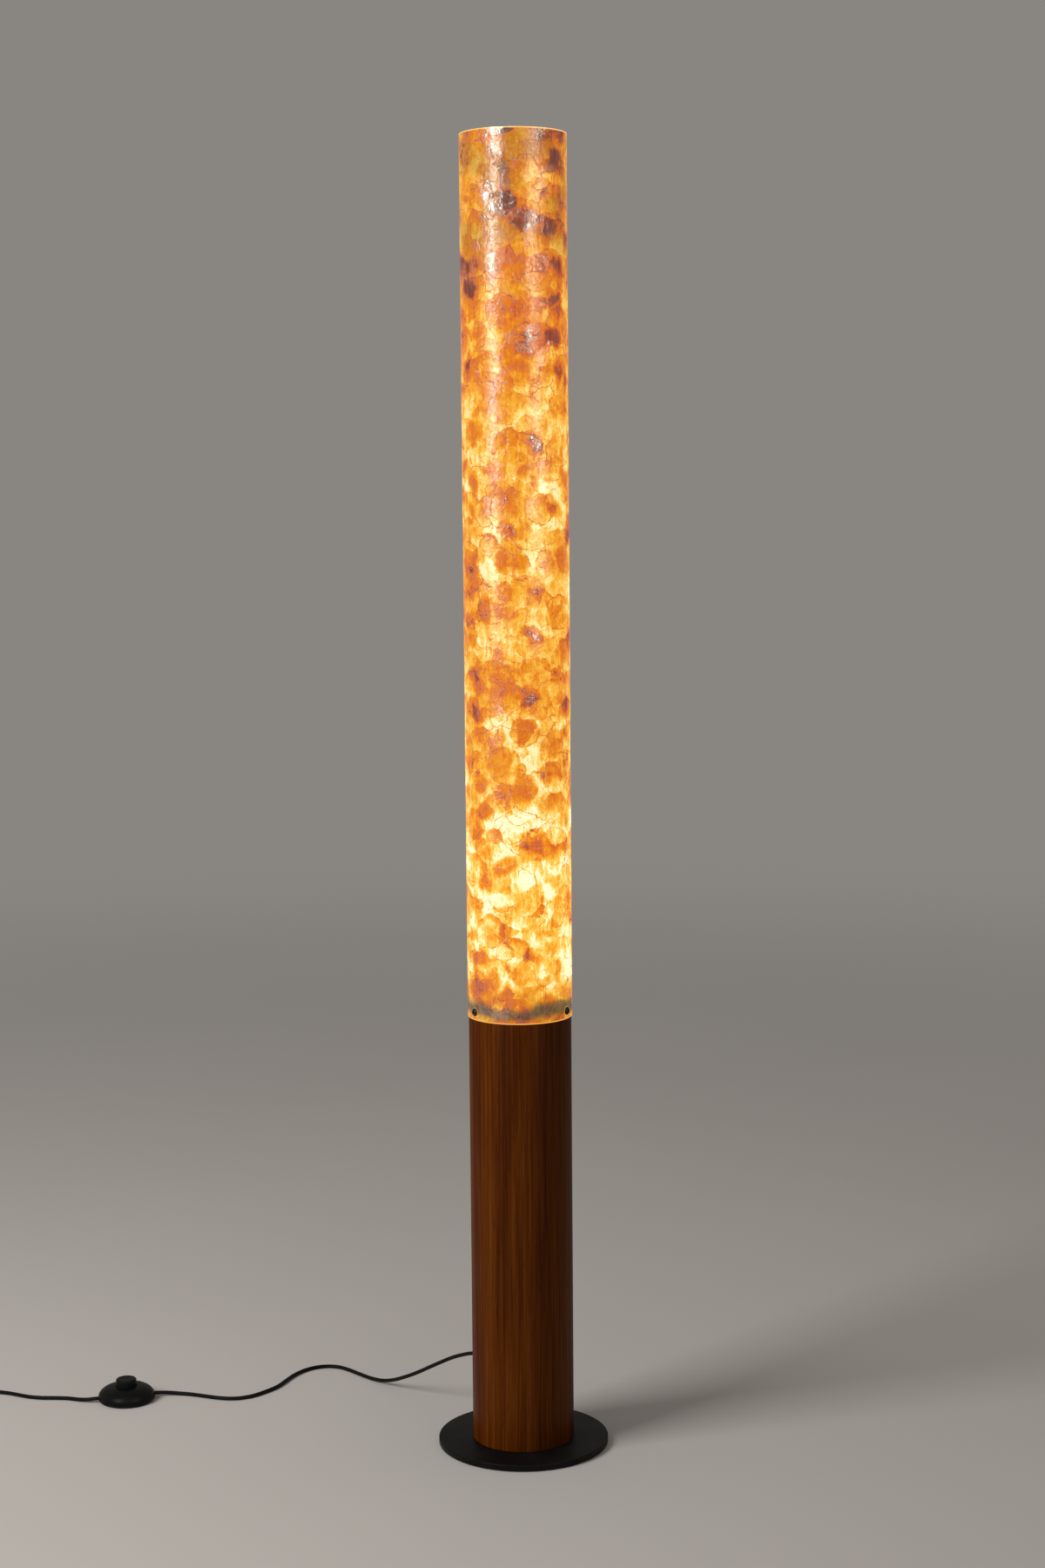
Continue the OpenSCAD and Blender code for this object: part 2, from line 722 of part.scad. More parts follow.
module switch_base() {
  color([0.07, 0.07, 0.07]) at_switch() difference() {
    union() {
      rotate_extrude() polygon([
        [0, switch_pad_t], [switch_r - 1.5, switch_pad_t], [switch_r, switch_pad_t + 1.5],
        [switch_r, z_split], [switch_in_r, z_split], [switch_in_r, z_sw_floor],
        [0, z_sw_floor]
      ]);
      at_housing_screws() translate([0, 0, switch_pad_t])
        cylinder(r = boss_r, h = z_split - switch_pad_t);
      at_clamp_screws() translate([0, 0, switch_pad_t])
        cylinder(r = post_r, h = z_clamp - switch_pad_t);
    }
    cord_ports();
    at_housing_screws() {
      translate([0, 0, switch_pad_t - 1]) cylinder(r = housing_screw_r + screw_fit, h = z_split);
      translate([0, 0, switch_pad_t - 1])
        cylinder(r = housing_head_r + screw_fit, h = 1 + housing_head_h);
    }
    at_clamp_screws() translate([0, 0, z_sw_floor])
      cylinder(r = small_screw_r + screw_fit, h = z_clamp);
  }
}

// Inside or outside of the dome, as a solid of revolution; in is 0 outside
module dome(in) {
  rotate_extrude() polygon(concat([[0, z_split]],
    arc([collar_r, z_split], switch_r - collar_r - in, switch_h - z_split - in, 0, 90, 12),
    [[0, switch_h - in]]));
}

module switch_cover() {
  color([0.05, 0.05, 0.05]) at_switch() difference() {
    union() {
      difference() {
        dome(0);
        translate([0, 0, -0.01]) dome(switch_wall);
      }
      intersection() {
        dome(switch_wall / 2);
        at_housing_screws() translate([0, 0, z_split]) cylinder(r = boss_r, h = switch_h);
      }
    }
    translate([0, 0, z_split]) cylinder(r = opening_r, h = switch_h);
    cord_ports();
    at_housing_screws() translate([0, 0, z_split - 1])
      cylinder(r = housing_screw_r + screw_fit, h = housing_screw_len - z_split + 4);
  }
}

module switch_button() {
  edge = 1.6;
  color([0.09, 0.09, 0.09]) at_switch() rotate_extrude() polygon(concat(
    [[0, z_stem], [stem_r, z_stem], [stem_r, z_button_in], [button_r - button_wall, z_button_in],
     [button_r - button_wall, z_flange - flange_t], [flange_r, z_flange - flange_t],
     [flange_r, z_flange], [button_r, z_flange]],
    arc([button_r - edge, z_button - edge - 0.4], edge, edge, 0, 75, 5),
    [[button_r * 0.5, z_button - 0.1], [0, z_button]]));
}

// Spring between the core and the inside of the button
module switch_spring() {
  steps = 10;
  z0 = z_core + spring_wire / 2 + spring_rest;
  z1 = z_button_in - spring_wire / 2 - spring_rest;
  path = [for (k = [0:spring_turns * steps]) let (a = 360 * k / steps)
    [spring_r * cos(a), spring_r * sin(a), z0 + (z1 - z0) * k / (spring_turns * steps)]];
  color("silver") at_switch()
    tube(path, spring_wire / 2, 6, [0, 0, 1], heading(path, 0), heading(path, len(path) - 1));
}

// Latch block that guides the button's stem
module switch_core() {
  color("ivory") at_switch() difference() {
    translate([0, 0, z_sw_floor]) cylinder(r = core_r, h = z_core - z_sw_floor);
    translate([0, 0, z_core_bore]) cylinder(r = core_bore_r, h = z_core);
    for (s = [0, 90]) rotate([0, 0, s])
      translate([-core_r - 1, -latch_slot_w / 2, z_core - latch_slot_h])
        cube([2 * core_r + 2, latch_slot_w, latch_slot_h + 1]);
  }
}

module switch_contacts() {
  tail = sw_block_x - sw_block_w / 2 - contact_x;
  color("gold") at_switch() for (s = [0, 1]) mirror([s, 0, 0])
    translate([contact_x, -contact_w / 2, z_sw_floor]) {
      cube([contact_t, contact_w, contact_h]);
      cube([tail, contact_w + sw_block_y - contact_w / 2, contact_t]);
    }
}

module switch_terminals() {
  color("gold") at_switch() for (s = [-1, 1])
    translate([s * sw_block_x, sw_block_y, z_sw_floor]) difference() {
      translate([-sw_block_w / 2, -sw_block_w / 2, 0]) cube([sw_block_w, sw_block_w, sw_block_w]);
      cylinder(r = small_screw_r + screw_fit, h = sw_block_w + 1);
    }
}

// The cores inside the switch: one is cut and runs to the terminals on both sides,
// the other goes round the latch block
module switch_wires() {
  block_out = sw_block_x + sw_block_w / 2;
  z_block = z_sw_floor + 2.4;
  pass = [[cord_in, -wire_apart, z_split], [cord_in - 1.8, -2.2, z_split],
          [16.5, -6.5, z_split], [9, -11.5, z_split], [0, -12.5, z_split]];
  back = [for (k = [3:-1:0]) [-pass[k][0], pass[k][1], pass[k][2]]];
  color("peru") at_switch() {
    for (s = [-1, 1])
      tube(smooth([[s * cord_in, wire_apart, z_split], [s * (cord_in - 1), 1.6, z_split],
                   [s * (cord_in - 1.9), 3.6, z_split + 0.1],
                   [s * (block_out + 1.1), 5.4, z_block], [s * block_out, 5.8, z_block]], 3),
           wire_r, 8, [0, 0, 1], [-s, 0, 0], [-s, 0, 0]);
    tube(smooth(concat(pass, back), 3), wire_r, 8, [0, 0, 1], [-1, 0, 0], [-1, 0, 0]);
  }
}

// Small slotted screw: the head sits above z = 0 and the shank goes down
module small_screw(len) {
  slot = small_head_h / 2;
  translate([0, 0, -len]) cylinder(r = small_screw_r, h = len);
  difference() {
    cylinder(r = small_head_r, h = small_head_h);
    translate([-small_head_r - 1, -slot / 2, small_head_h - slot])
      cube([2 * small_head_r + 2, slot, 1]);
  }
}

module holder_screws() {
  color("silver") for (s = [-1, 1]) translate([s * terminal_x, 0, z_ledge - terminal_h])
    rotate([180, 0, 0]) small_screw(terminal_h);
}

module terminal_screws() {
  color("silver") at_switch() for (s = [-1, 1])
    translate([s * sw_block_x, sw_block_y, z_sw_floor + sw_block_w]) small_screw(terminal_h);
}

module cord_clamps() {
  color([0.85, 0.85, 0.8]) at_switch() difference() {
    for (s = [-1, 1]) translate([s * clamp_x - clamp_w / 2, -clamp_len / 2, z_clamp])
      cube([clamp_w, clamp_len, clamp_h]);
    at_clamp_screws() cylinder(r = small_screw_r + screw_fit, h = z_clamp + clamp_h + 1);
  }
}

module clamp_screws() {
  color("silver") at_switch() at_clamp_screws()
    translate([0, 0, z_clamp + clamp_h]) small_screw(clamp_screw_len);
}

module switch_screws() {
  color("silver") at_switch() at_housing_screws()
    translate([0, 0, switch_pad_t + housing_head_h]) {
      cylinder(r = housing_screw_r, h = housing_screw_len);
      translate([0, 0, -housing_head_h]) cylinder(r = housing_head_r, h = housing_head_h);
    }
}

// ---- Cord on the floor and plug -----------------------------------------------------

// Point inside the switch, or outside its port, at the distance d along the cord
function switch_point(d) = [switch_x, switch_y, z_split] + d * switch_dir;

module cord_lamp_side() {
  start = exit_dir * tip_out + [0, 0, exit_z];
  path = smooth(concat([start], lamp_route, [switch_point(switch_r + 3)]), 2);
  color([0.03, 0.03, 0.03])
    tube(concat(path, [switch_point(switch_r - 4), switch_point(cord_in)]),
         cord_r, 10, [0, 0, 1], exit_dir, -switch_dir);
}

module cord_plug_side() {
  finish = [coil_x + coil_lead, coil_y + coil_r, z_cord];
  path = smooth(concat([switch_point(-switch_r - 3)], plug_route, [finish]), 2);
  color([0.03, 0.03, 0.03])
    tube(concat([switch_point(-cord_in), switch_point(4 - switch_r)], path),
         cord_r, 10, [0, 0, 1], -switch_dir, [-1, 0, 0]);
}

// Point of the coil after a degrees of travel: inwards on the floor, half a turn of
// climb while the spiral reverses, then outwards on top
function coil_point(a) = let (
    half = 360 * coil_turns + 90,
    r = coil_r - coil_pitch * min(a, 2 * half - a) / 360,
    climb = min(max(a - 360 * coil_turns, 0), 180))
  [coil_x + r * cos(coil_start + a), coil_y + r * sin(coil_start + a),
   z_cord + coil_pitch * (1 - cos(climb)) / 2];

coil_travel = 720 * coil_turns + 180;
coil_path = [for (a = [0:360 / coil_rings:coil_travel]) coil_point(a)];

// Least free space between points of the coil that are over half a turn apart
coil_least_gap = min([for (i = [0:len(coil_path) - 1])
  for (j = [i + coil_rings / 2:1:len(coil_path) - 1])
    norm(coil_path[i] - coil_path[j]) - cord_d]);
echo(coil_least_gap = coil_least_gap);

module cord_coil() {
  start = coil_path[0] + [coil_lead, 0, 0];
  finish = coil_path[len(coil_path) - 1] - [0, coil_tail, 0];
  color([0.04, 0.04, 0.04])
    tube(concat([start], coil_path, [finish]), cord_r, coil_sides, [0, 0, 1],
         [-1, 0, 0], [0, -1, 0]);
}

module plug_body() {
  plan = [[-plug_w / 2, 0], [plug_w / 2, 0], [plug_w / 2, plug_straight],
          [plug_neck_w / 2, plug_len - plug_edge], [plug_neck_w / 2 - plug_edge / 2, plug_len],
          [plug_edge / 2 - plug_neck_w / 2, plug_len], [-plug_neck_w / 2, plug_len - plug_edge],
          [-plug_w / 2, plug_straight]];
  face = [[-plug_face_w / 2, 0], [plug_face_w / 2, 0], [plug_w / 2, plug_t * 0.4],
          [plug_w / 2, plug_t * 0.6], [plug_face_w / 2, plug_t], [-plug_face_w / 2, plug_t],
          [-plug_w / 2, plug_t * 0.6], [-plug_w / 2, plug_t * 0.4]];
  color([0.04, 0.04, 0.04]) translate([plug_x, plug_y - plug_len, 0]) difference() {
    union() {
      intersection() {
        linear_extrude(plug_t) polygon(plan);
        translate([0, plug_len + 1, 0]) rotate([90, 0, 0]) linear_extrude(plug_len + 2)
          polygon(face);
      }
      translate([0, plug_len - 1, z_upper]) rotate([-90, 0, 0])
        cylinder(r1 = plug_boot_root_r, r2 = plug_boot_tip_r, h = plug_boot_len + 1);
    }
    for (s = [-1, 1]) translate([s * pin_gap / 2, -1, plug_t / 2]) rotate([-90, 0, 0])
      cylinder(r = pin_core_r + screw_fit, h = pin_seat + 1);
  }
}

// Places its children at the two pins, with Z along each pin away from the plug
module at_pins() {
  for (s = [-1, 1])
    translate([plug_x + s * pin_gap / 2, plug_y - plug_len, plug_t / 2])
      rotate([90, 0, 0]) children();
}

module plug_pins() {
  color("silver") at_pins() rotate_extrude() polygon([
    [0, -pin_seat], [pin_core_r, -pin_seat], [pin_core_r, sleeve_len],
    [pin_d / 2, sleeve_len], [pin_d / 2, pin_len - pin_tip],
    [pin_d / 2 - pin_tip, pin_len], [0, pin_len]
  ]);
}

module pin_sleeves() {
  color([0.04, 0.04, 0.04]) at_pins()
    collar(pin_core_r + sleeve_grip, pin_d / 2 - sleeve_step, 0, sleeve_len);
}

floor_pad();
base_plate();
base_screws();
bottom_plug();
wood_tube();
cord_bush();
bush_nut();
inner_cord();
shade_carrier();
shade_tube();
shade_screws();
holder_nipple();
nipple_nuts();
nipple_washer();
holder_cup();
holder_insert();
holder_sleeve();
screw_shell();
centre_contact();
holder_terminals();
holder_screws();
holder_wires();
bulb_cap();
bulb_insulator();
bulb_contact();
bulb_body();
led_board();
bulb_globe();
cord_lamp_side();
switch_pads();
switch_base();
switch_cover();
switch_button();
switch_spring();
switch_core();
switch_contacts();
switch_terminals();
switch_wires();
terminal_screws();
cord_clamps();
clamp_screws();
switch_screws();
cord_plug_side();
cord_coil();
plug_body();
plug_pins();
pin_sleeves();
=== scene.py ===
# %% [markdown]
# # A column floor lamp
# The lamp is a tall tube of shell pieces laid in clear resin, on a tube of brown stained
# wood, on a round black plate. Its cord leaves the wood at the back, runs through a foot
# switch and ends in a flat plug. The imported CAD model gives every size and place, and this
# notebook gives the lamp its surfaces, one piece at a time.

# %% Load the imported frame
import json
import math
from functools import partial
from types import SimpleNamespace

import bmesh
import bpy
import numpy as np
from mathutils import Matrix


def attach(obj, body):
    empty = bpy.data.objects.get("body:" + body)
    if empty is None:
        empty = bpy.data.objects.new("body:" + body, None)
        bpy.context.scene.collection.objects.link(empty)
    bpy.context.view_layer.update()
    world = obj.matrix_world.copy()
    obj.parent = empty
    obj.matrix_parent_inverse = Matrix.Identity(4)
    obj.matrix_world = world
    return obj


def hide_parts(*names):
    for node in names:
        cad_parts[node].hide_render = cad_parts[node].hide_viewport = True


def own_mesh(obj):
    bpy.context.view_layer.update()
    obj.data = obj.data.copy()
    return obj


def new_object(name, data):
    made = bpy.data.objects.new(name, data)
    bpy.context.scene.collection.objects.link(made)
    return made


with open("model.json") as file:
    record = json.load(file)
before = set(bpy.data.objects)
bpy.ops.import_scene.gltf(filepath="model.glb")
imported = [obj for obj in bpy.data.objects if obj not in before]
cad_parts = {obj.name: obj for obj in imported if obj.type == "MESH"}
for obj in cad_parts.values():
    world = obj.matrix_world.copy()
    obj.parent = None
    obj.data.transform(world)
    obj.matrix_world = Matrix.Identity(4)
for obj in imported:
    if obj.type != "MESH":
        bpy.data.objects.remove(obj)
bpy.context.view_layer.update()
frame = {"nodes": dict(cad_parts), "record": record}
nodes = frame["nodes"]

# %% [markdown]
# ## The camera
# It stands almost three metres in front of the lamp at chest height, looks a little down,
# and is rolled by half a degree, so that the column leans a little to the left. The side
# of the frame that the sensor width measures is the long one, here the height.

# %% Set the camera
CAMERA_PLACE = (0.005, -2.868, 1.0885)
LOOK_DOWN, ROLL = 6.24, -0.476

camera_data = bpy.data.cameras.new("front_camera")
camera_data.lens, camera_data.sensor_width = 58.1, 36.0
camera_data.clip_end = 200.0
camera = new_object("front_camera", camera_data)
camera.matrix_world = (
    Matrix.Translation(CAMERA_PLACE)
    @ Matrix.Rotation(math.radians(90 - LOOK_DOWN), 4, "X")
    @ Matrix.Rotation(math.radians(ROLL), 4, "Z")
)
bpy.context.scene.camera = camera
bpy.context.scene.view_settings.view_transform = "Standard"
print("camera at", tuple(round(v, 3) for v in camera.location))

# %% [markdown]
# ## Surfaces from arrays
# Every new piece is a grid of points: one direction runs round or along the piece, the
# other across it. Each could be drawn by hand, but a formula gives all the points at once,
# and a size can be changed later without drawing anything again.

# %% Turn a grid of points into a mesh
# metres: points that lie closer are one point, and faces that are narrower go
SAME_POINT, NO_WIDTH = 1e-6, 1e-7


def grid_piece(name, points, sharp=35.0):
    """Mesh whose vertex [i, j] is points[i, j]. Faces join each point to its neighbours
    in both directions, and each row closes on itself. Points that coincide, as at a pole,
    are merged afterwards. An edge that bends by more than sharp degrees stays sharp."""
    rows, columns = points.shape[:2]
    index = np.arange(rows * columns).reshape(rows, columns)
    index = np.hstack([index, index[:, :1]])
    a, b = index[:-1, :-1].ravel(), index[:-1, 1:].ravel()
    c, d = index[1:, 1:].ravel(), index[1:, :-1].ravel()
    mesh = bpy.data.meshes.new(name)
    mesh.from_pydata(points.reshape(-1, 3), [], np.stack([a, b, c, d], 1).tolist())
    work = bmesh.new()
    work.from_mesh(mesh)
    bmesh.ops.remove_doubles(work, verts=work.verts, dist=SAME_POINT)
    bmesh.ops.dissolve_degenerate(work, edges=work.edges, dist=NO_WIDTH)
    bmesh.ops.recalc_face_normals(work, faces=work.faces)
    work.to_mesh(mesh)
    work.free()
    mesh.shade_smooth()
    mesh.set_sharp_from_angle(angle=math.radians(sharp))
    return new_object(name, mesh)


def grid_of(x, y, z):
    """One grid of points from the three coordinates, each a grid, a row or a column."""
    return np.stack(np.broadcast_arrays(x, y, z), 2)


def turned(profile, turns=128):
    """Points of a turned piece: the profile's (radius, height) pairs are carried round
    the Z axis, so a point is (r cos a, r sin a, z). Millimetres in, metres out."""
    radius, height = np.asarray(profile, float).T[:, :, None] / 1000
    angle = np.arange(turns) * 2 * np.pi / turns
    return grid_of(radius * np.cos(angle), radius * np.sin(angle), height)


def bend(centre, radii, start, stop, steps):
    """Points on a part of an ellipse in the (radius, height) plane, from the angle start
    to the angle stop in degrees: centre + radii * (cos a, sin a)."""
    angle = np.radians(np.linspace(start, stop, steps))
    circle = np.stack([np.cos(angle), np.sin(angle)], 1)
    return (np.array(centre) + np.array(radii) * circle).tolist()


def moved(points, matrix):
    """The points after a turn and a shift: matrix times each point."""
    turn = np.array(matrix)
    return points @ turn[:3, :3].T + turn[:3, 3]


print("grid_piece, grid_of, turned, bend and moved are ready")

# %% [markdown]
# ## The cord
# The cord is a round 4.6 mm mains lead of about 1.8 m. It leaves the wooden tube behind
# the lamp, comes down in an arc, makes one wide bend on the floor and enters the foot
# switch. From there it runs on out of view to the left, where the spare length lies wound
# in two layers beside the plug. A curve object with a bevel would do, but a tube swept
# along the route's own points has rings that stay square to the route, also in the coil.

# %% Lay out the cord's route
CORD = 0.0046

# the exit lies behind the lamp on the left, at the end of a strain relief
EXIT_TURN, EXIT_REACH, EXIT_HEIGHT = 49, 80.6, 85
EXIT = np.array([-EXIT_REACH * math.cos(math.radians(EXIT_TURN)),
                 EXIT_REACH * math.sin(math.radians(EXIT_TURN)), EXIT_HEIGHT]) / 1000

# the switch's middle and axis, and the ways from there to the cord's last straight bit, to
# the wall and to the cord's end
SWITCH = np.array([-489, 149, 5]) / 1000
SWITCH_TURN = math.radians(15)
SWITCH_WAY = np.array([math.cos(SWITCH_TURN), math.sin(SWITCH_TURN), 0])
STRAIGHT_FROM, WALL, CORD_END = 0.0375 * SWITCH_WAY, 0.0305 * SWITCH_WAY, 0.021 * SWITCH_WAY
INTO_PLUG = 0.012

lamp_route = np.array([
    [-60.5, 69, 82.5], [-70.5, 80, 77.5], [-85, 95.5, 68.5], [-99.5, 111, 57.5],
    [-114.5, 127.5, 45.5], [-129.5, 143.5, 33.5], [-144.5, 160, 22.5], [-160, 177, 12.5],
    [-175.5, 194, 5.5], [-191, 210.5, 2.7], [-206.5, 227, 2.4], [-221.5, 243.5, 2.4],
    [-234.5, 254, 2.4], [-249, 257.5, 2.4], [-263.5, 254, 2.4], [-277.5, 243, 2.4],
    [-289.5, 225, 2.4], [-298, 204.5, 2.4], [-306, 185, 2.4], [-318, 168, 2.4],
    [-333, 152.5, 2.4], [-347.5, 144.5, 2.4], [-362, 143, 2.4], [-377, 146, 2.4],
    [-395, 153, 2.4], [-411, 159, 2.4], [-427, 162, 2.8], [-441, 161.5, 4]]) / 1000
plug_route = np.array([
    [-535, 139.2, 4], [-547, 143, 2.8], [-562, 148.5, 2.4], [-579, 150, 2.4],
    [-595, 151, 2.4], [-610.5, 155, 2.4], [-626, 162.5, 2.4], [-638.5, 168.5, 2.4],
    [-650, 172.5, 2.4], [-664, 177, 2.4], [-680, 182, 2.4]]) / 1000


def smooth_route(points, steps=6):
    """A curve through all the points. Between two of them it is a cubic that leaves each
    one parallel to the line between that point's neighbours."""
    p = np.vstack([2 * points[0] - points[1], points, 2 * points[-1] - points[-2]])
    t = (np.arange(steps) / steps)[None, :, None]
    a, b, c, d = (p[k:len(p) - 3 + k, None, :] for k in range(4))
    curve = 0.5 * (2 * b + (c - a) * t + (2 * a - 5 * b + 4 * c - d) * t**2
                   + (3 * b - a - 3 * c + d) * t**3)
    return np.vstack([curve.reshape(-1, 3), points[-1]])


def coil_route():
    """The spare length: a spiral inwards on the floor, half a turn of climb while it
    reverses, and the same spiral outwards on top. The radius falls by one pitch a turn
    up to the middle of the travel and grows again after it."""
    middle_x, middle_y, lowest = -702, 150, 2.4
    turns, pitch, outer, step = 2.875, 5.1, 34.5, 7.5
    travel = np.arange(0, 720 * turns + 181, step)
    half = 360 * turns + 90
    radius = outer - pitch * np.minimum(travel, 2 * half - travel) / 360
    climb = np.clip(travel - 360 * turns, 0, 180)
    angle = np.radians(90 + travel)
    return np.stack([middle_x + radius * np.cos(angle), middle_y + radius * np.sin(angle),
                     lowest + pitch * (1 - np.cos(np.radians(climb))) / 2], 1) / 1000


def length_of(route):
    return float(np.linalg.norm(np.diff(route, axis=0), axis=1).sum())


lamp_line = np.vstack([
    smooth_route(np.vstack([EXIT, lamp_route, SWITCH + STRAIGHT_FROM])),
    SWITCH + WALL, SWITCH + CORD_END])
coil = coil_route()
plug_line = np.vstack([
    SWITCH - CORD_END, SWITCH - WALL,
    smooth_route(np.vstack([SWITCH - STRAIGHT_FROM, plug_route, coil[0] + [CORD, 0, 0]])),
    coil, coil[-1] - [0, INTO_PLUG, 0]])
print("cord lengths:", round(length_of(lamp_line), 3), round(length_of(plug_line), 3))

# %% Sweep the cord along its route
def tube_along(route, radius, sides=16):
    """Points of a tube: round each route point lies a ring square to the route, made of
    cos and sin times two directions across it. Both ends are closed flat."""
    way = np.gradient(route, axis=0)
    way /= np.linalg.norm(way, axis=1)[:, None]
    across = np.cross([0.0, 0.0, 1.0], way)
    across /= np.linalg.norm(across, axis=1)[:, None]
    up = np.cross(way, across)
    angle = np.arange(sides) * 2 * np.pi / sides
    ring = np.cos(angle)[:, None] * across[:, None] + np.sin(angle)[:, None] * up[:, None]
    body = route[:, None] + radius * ring
    close = lambda k: np.broadcast_to(route[k], (1, sides, 3))
    return np.vstack([close(0), body, close(-1)])


slot_of_piece = {}


def stand_for(piece, slot_name, *node_names, body="lamp"):
    """The piece moves with the body, takes the place of the CAD nodes and has the slot's
    finish, which is put on at the end."""
    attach(piece, body)
    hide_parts(*node_names)
    slot_of_piece[piece] = slot_name


cord_to_switch = grid_piece("cord_to_switch", tube_along(lamp_line, CORD / 2), sharp=60)
cord_to_plug = grid_piece("cord_to_plug", tube_along(plug_line, CORD / 2), sharp=60)
stand_for(cord_to_switch, "cord_jacket", "cord_lamp_side")
stand_for(cord_to_plug, "cord_jacket", "cord_plug_side", "cord_coil")
print("cord pieces:", cord_to_switch.name, cord_to_plug.name)

# %% [markdown]
# ## The shade's tube
# The real shade is a resin tube: overlapping flat shell pieces are laid round a former in
# several layers, set in clear resin and polished. So the wall isn't quite even. A plain
# cylinder would give a ruler-straight outline, so here the radius swells and dips by a
# fraction of a millimetre, and both ends get a small rounding. The wall is one closed
# surface: up the outside, over the rim, down the inside and back under the foot.

# %% Shape the shade
JOINT, TOP = 508.0, 1500.0
OUTER, INNER, EDGE = 60, 57, 0.6
# metres of wave, and millimetres: calm foot, calm top, and the way to full waves
WAVE_DEPTH, CALM_FOOT, CALM_TOP, FADE = 0.00007, 14, 6, 20


def shade_points(rows=170, turns=192):
    """The outside has small waves, each a sine of a whole number of turns round the tube
    plus a multiple of the height. They die out towards both ends. Two quarter circles
    round off the edges at the top, and two at the foot."""
    low, high = JOINT + EDGE, TOP - EDGE
    heights = np.linspace(low, high, rows)
    outside = [[OUTER, z] for z in heights]
    inside = [[INNER, z] for z in heights[::-1]]
    corner = lambda radius, z, start: bend((radius, z), (EDGE, EDGE), start, start + 75, 4)
    profile = np.array(outside + corner(OUTER - EDGE, high, 15) + corner(INNER + EDGE, high, 90)
                       + inside + corner(INNER + EDGE, low, 195)
                       + corner(OUTER - EDGE, low, 270) + [outside[0]])
    points = turned(profile, turns)
    angle = np.arange(turns) * 2 * np.pi / turns
    z = profile[:, 1:]
    wave = sum(np.sin(around * angle + along * z / 1000 + start) for around, along, start in
               ((5, 61, 0), (7, -43, 1.3), (11, 97, 0.4), (3, 19, 2.1)))
    calm = np.clip(np.minimum(z - JOINT - CALM_FOOT, TOP - CALM_TOP - z) / FADE, 0, 1)
    on_outside = profile[:, :1] > (OUTER + INNER) / 2
    swell = 1 + WAVE_DEPTH * wave * calm * on_outside / (OUTER / 1000)
    points[:, :, :2] *= swell[:, :, None]
    return points


shade = grid_piece("shade", shade_points(), sharp=60)
stand_for(shade, "shell_laminate", "shade_tube")
print("shade faces:", len(shade.data.polygons))

# %% [markdown]
# ## The wooden tube and the steel plate
# Both are turned pieces. A turner eases every edge with sandpaper, so the corners are
# small arcs, never sharp. Each profile is carried once round the axis.

# %% Turn the wood and the plate
def rounded(corners, size, steps=4):
    """A closed profile with its corners rounded: each corner is replaced by points on the
    curve p = (1-t)^2 a + 2t(1-t) corner + t^2 b, where a and b lie size before and after
    the corner. size is one number for each corner."""
    corners = np.array(corners, float)
    before = np.roll(corners, 1, axis=0) - corners
    after = np.roll(corners, -1, axis=0) - corners
    size = np.array(size, float)[:, None]
    a = corners + size * before / np.linalg.norm(before, axis=1)[:, None]
    b = corners + size * after / np.linalg.norm(after, axis=1)[:, None]
    t = np.linspace(0, 1, steps)[:, None, None]
    curve = (1 - t)**2 * a + 2 * t * (1 - t) * corners + t**2 * b
    path = curve.transpose(1, 0, 2).reshape(-1, 2)
    return np.vstack([path, path[:1]])


def turned_piece(name, profile, node_name, slot_name, body="lamp", matrix=None, turns=128):
    """A turned piece that stands for a CAD node."""
    points = turned(profile, turns)
    if matrix is not None:
        points = moved(points, matrix)
    piece = grid_piece(name, points)
    stand_for(piece, slot_name, node_name, body=body)
    return piece


wood = turned_piece("wood", rounded([(51, 8), (59, 8), (59, JOINT), (51, JOINT)],
                                    [0.6, 0.9, 0.9, 0.6]), "wood_tube", "stained_wood")
plate = turned_piece("plate", rounded([(0, 1), (99, 1), (99, 8), (0, 8)],
                                      [0, 0.9, 1.0, 0], 5), "base_plate", "black_steel", turns=192)
print("wood and plate:", wood.dimensions[:], plate.dimensions[:])

# %% [markdown]
# ## The fixing screws of the shade
# Three black button-head screws hold the shade on the wooden disc inside its foot. The
# domed head is a turned surface. Towards the middle the ring changes from a circle to a
# hexagon and drops into the socket.

# %% Make the button-head screws
SCREW_TURNS, SCREW_HEIGHT = (92, 212, 332), 0.5175


def button_head(turns=48):
    """Rows run from the shank's end up the shank, out under the head, over the dome and
    down into the socket. A ring's radius is r, times cos(30) / cos(a mod 60 - 30) where
    the ring is a hexagon."""
    rows = ([[0, -16, 0], [2.2, -16, 0], [2.5, -15.6, 0], [2.5, 0, 0], [4.3, 0, 0],
             [4.5, 0.2, 0], [4.5, 0.5, 0]]
            + [[r, z, 0] for r, z in bend((2.0, 0.5), (2.5, 2.2), 12, 88, 9)]
            + [[1.85, 2.68, 0.6], [1.75, 2.62, 1], [1.7, 2.4, 1], [1.7, 1.0, 1], [0, 0.9, 1]])
    r, z, six = np.array(rows, float).T[:, :, None]
    angle = (np.arange(turns) + 0.5) * 2 * np.pi / turns
    hexagon = np.cos(np.pi / 6) / np.cos(angle % (np.pi / 3) - np.pi / 6)
    radius = r * (1 + six * (hexagon - 1))
    return grid_of(radius * np.cos(angle), radius * np.sin(angle), z) / 1000


def joined(name, pieces):
    """Several meshes become one object, as one CAD node may hold several screws."""
    mesh = bpy.data.meshes.new(name)
    work = bmesh.new()
    for piece in pieces:
        work.from_mesh(piece.data)
        bpy.data.objects.remove(piece)
    work.to_mesh(mesh)
    work.free()
    return new_object(name, mesh)


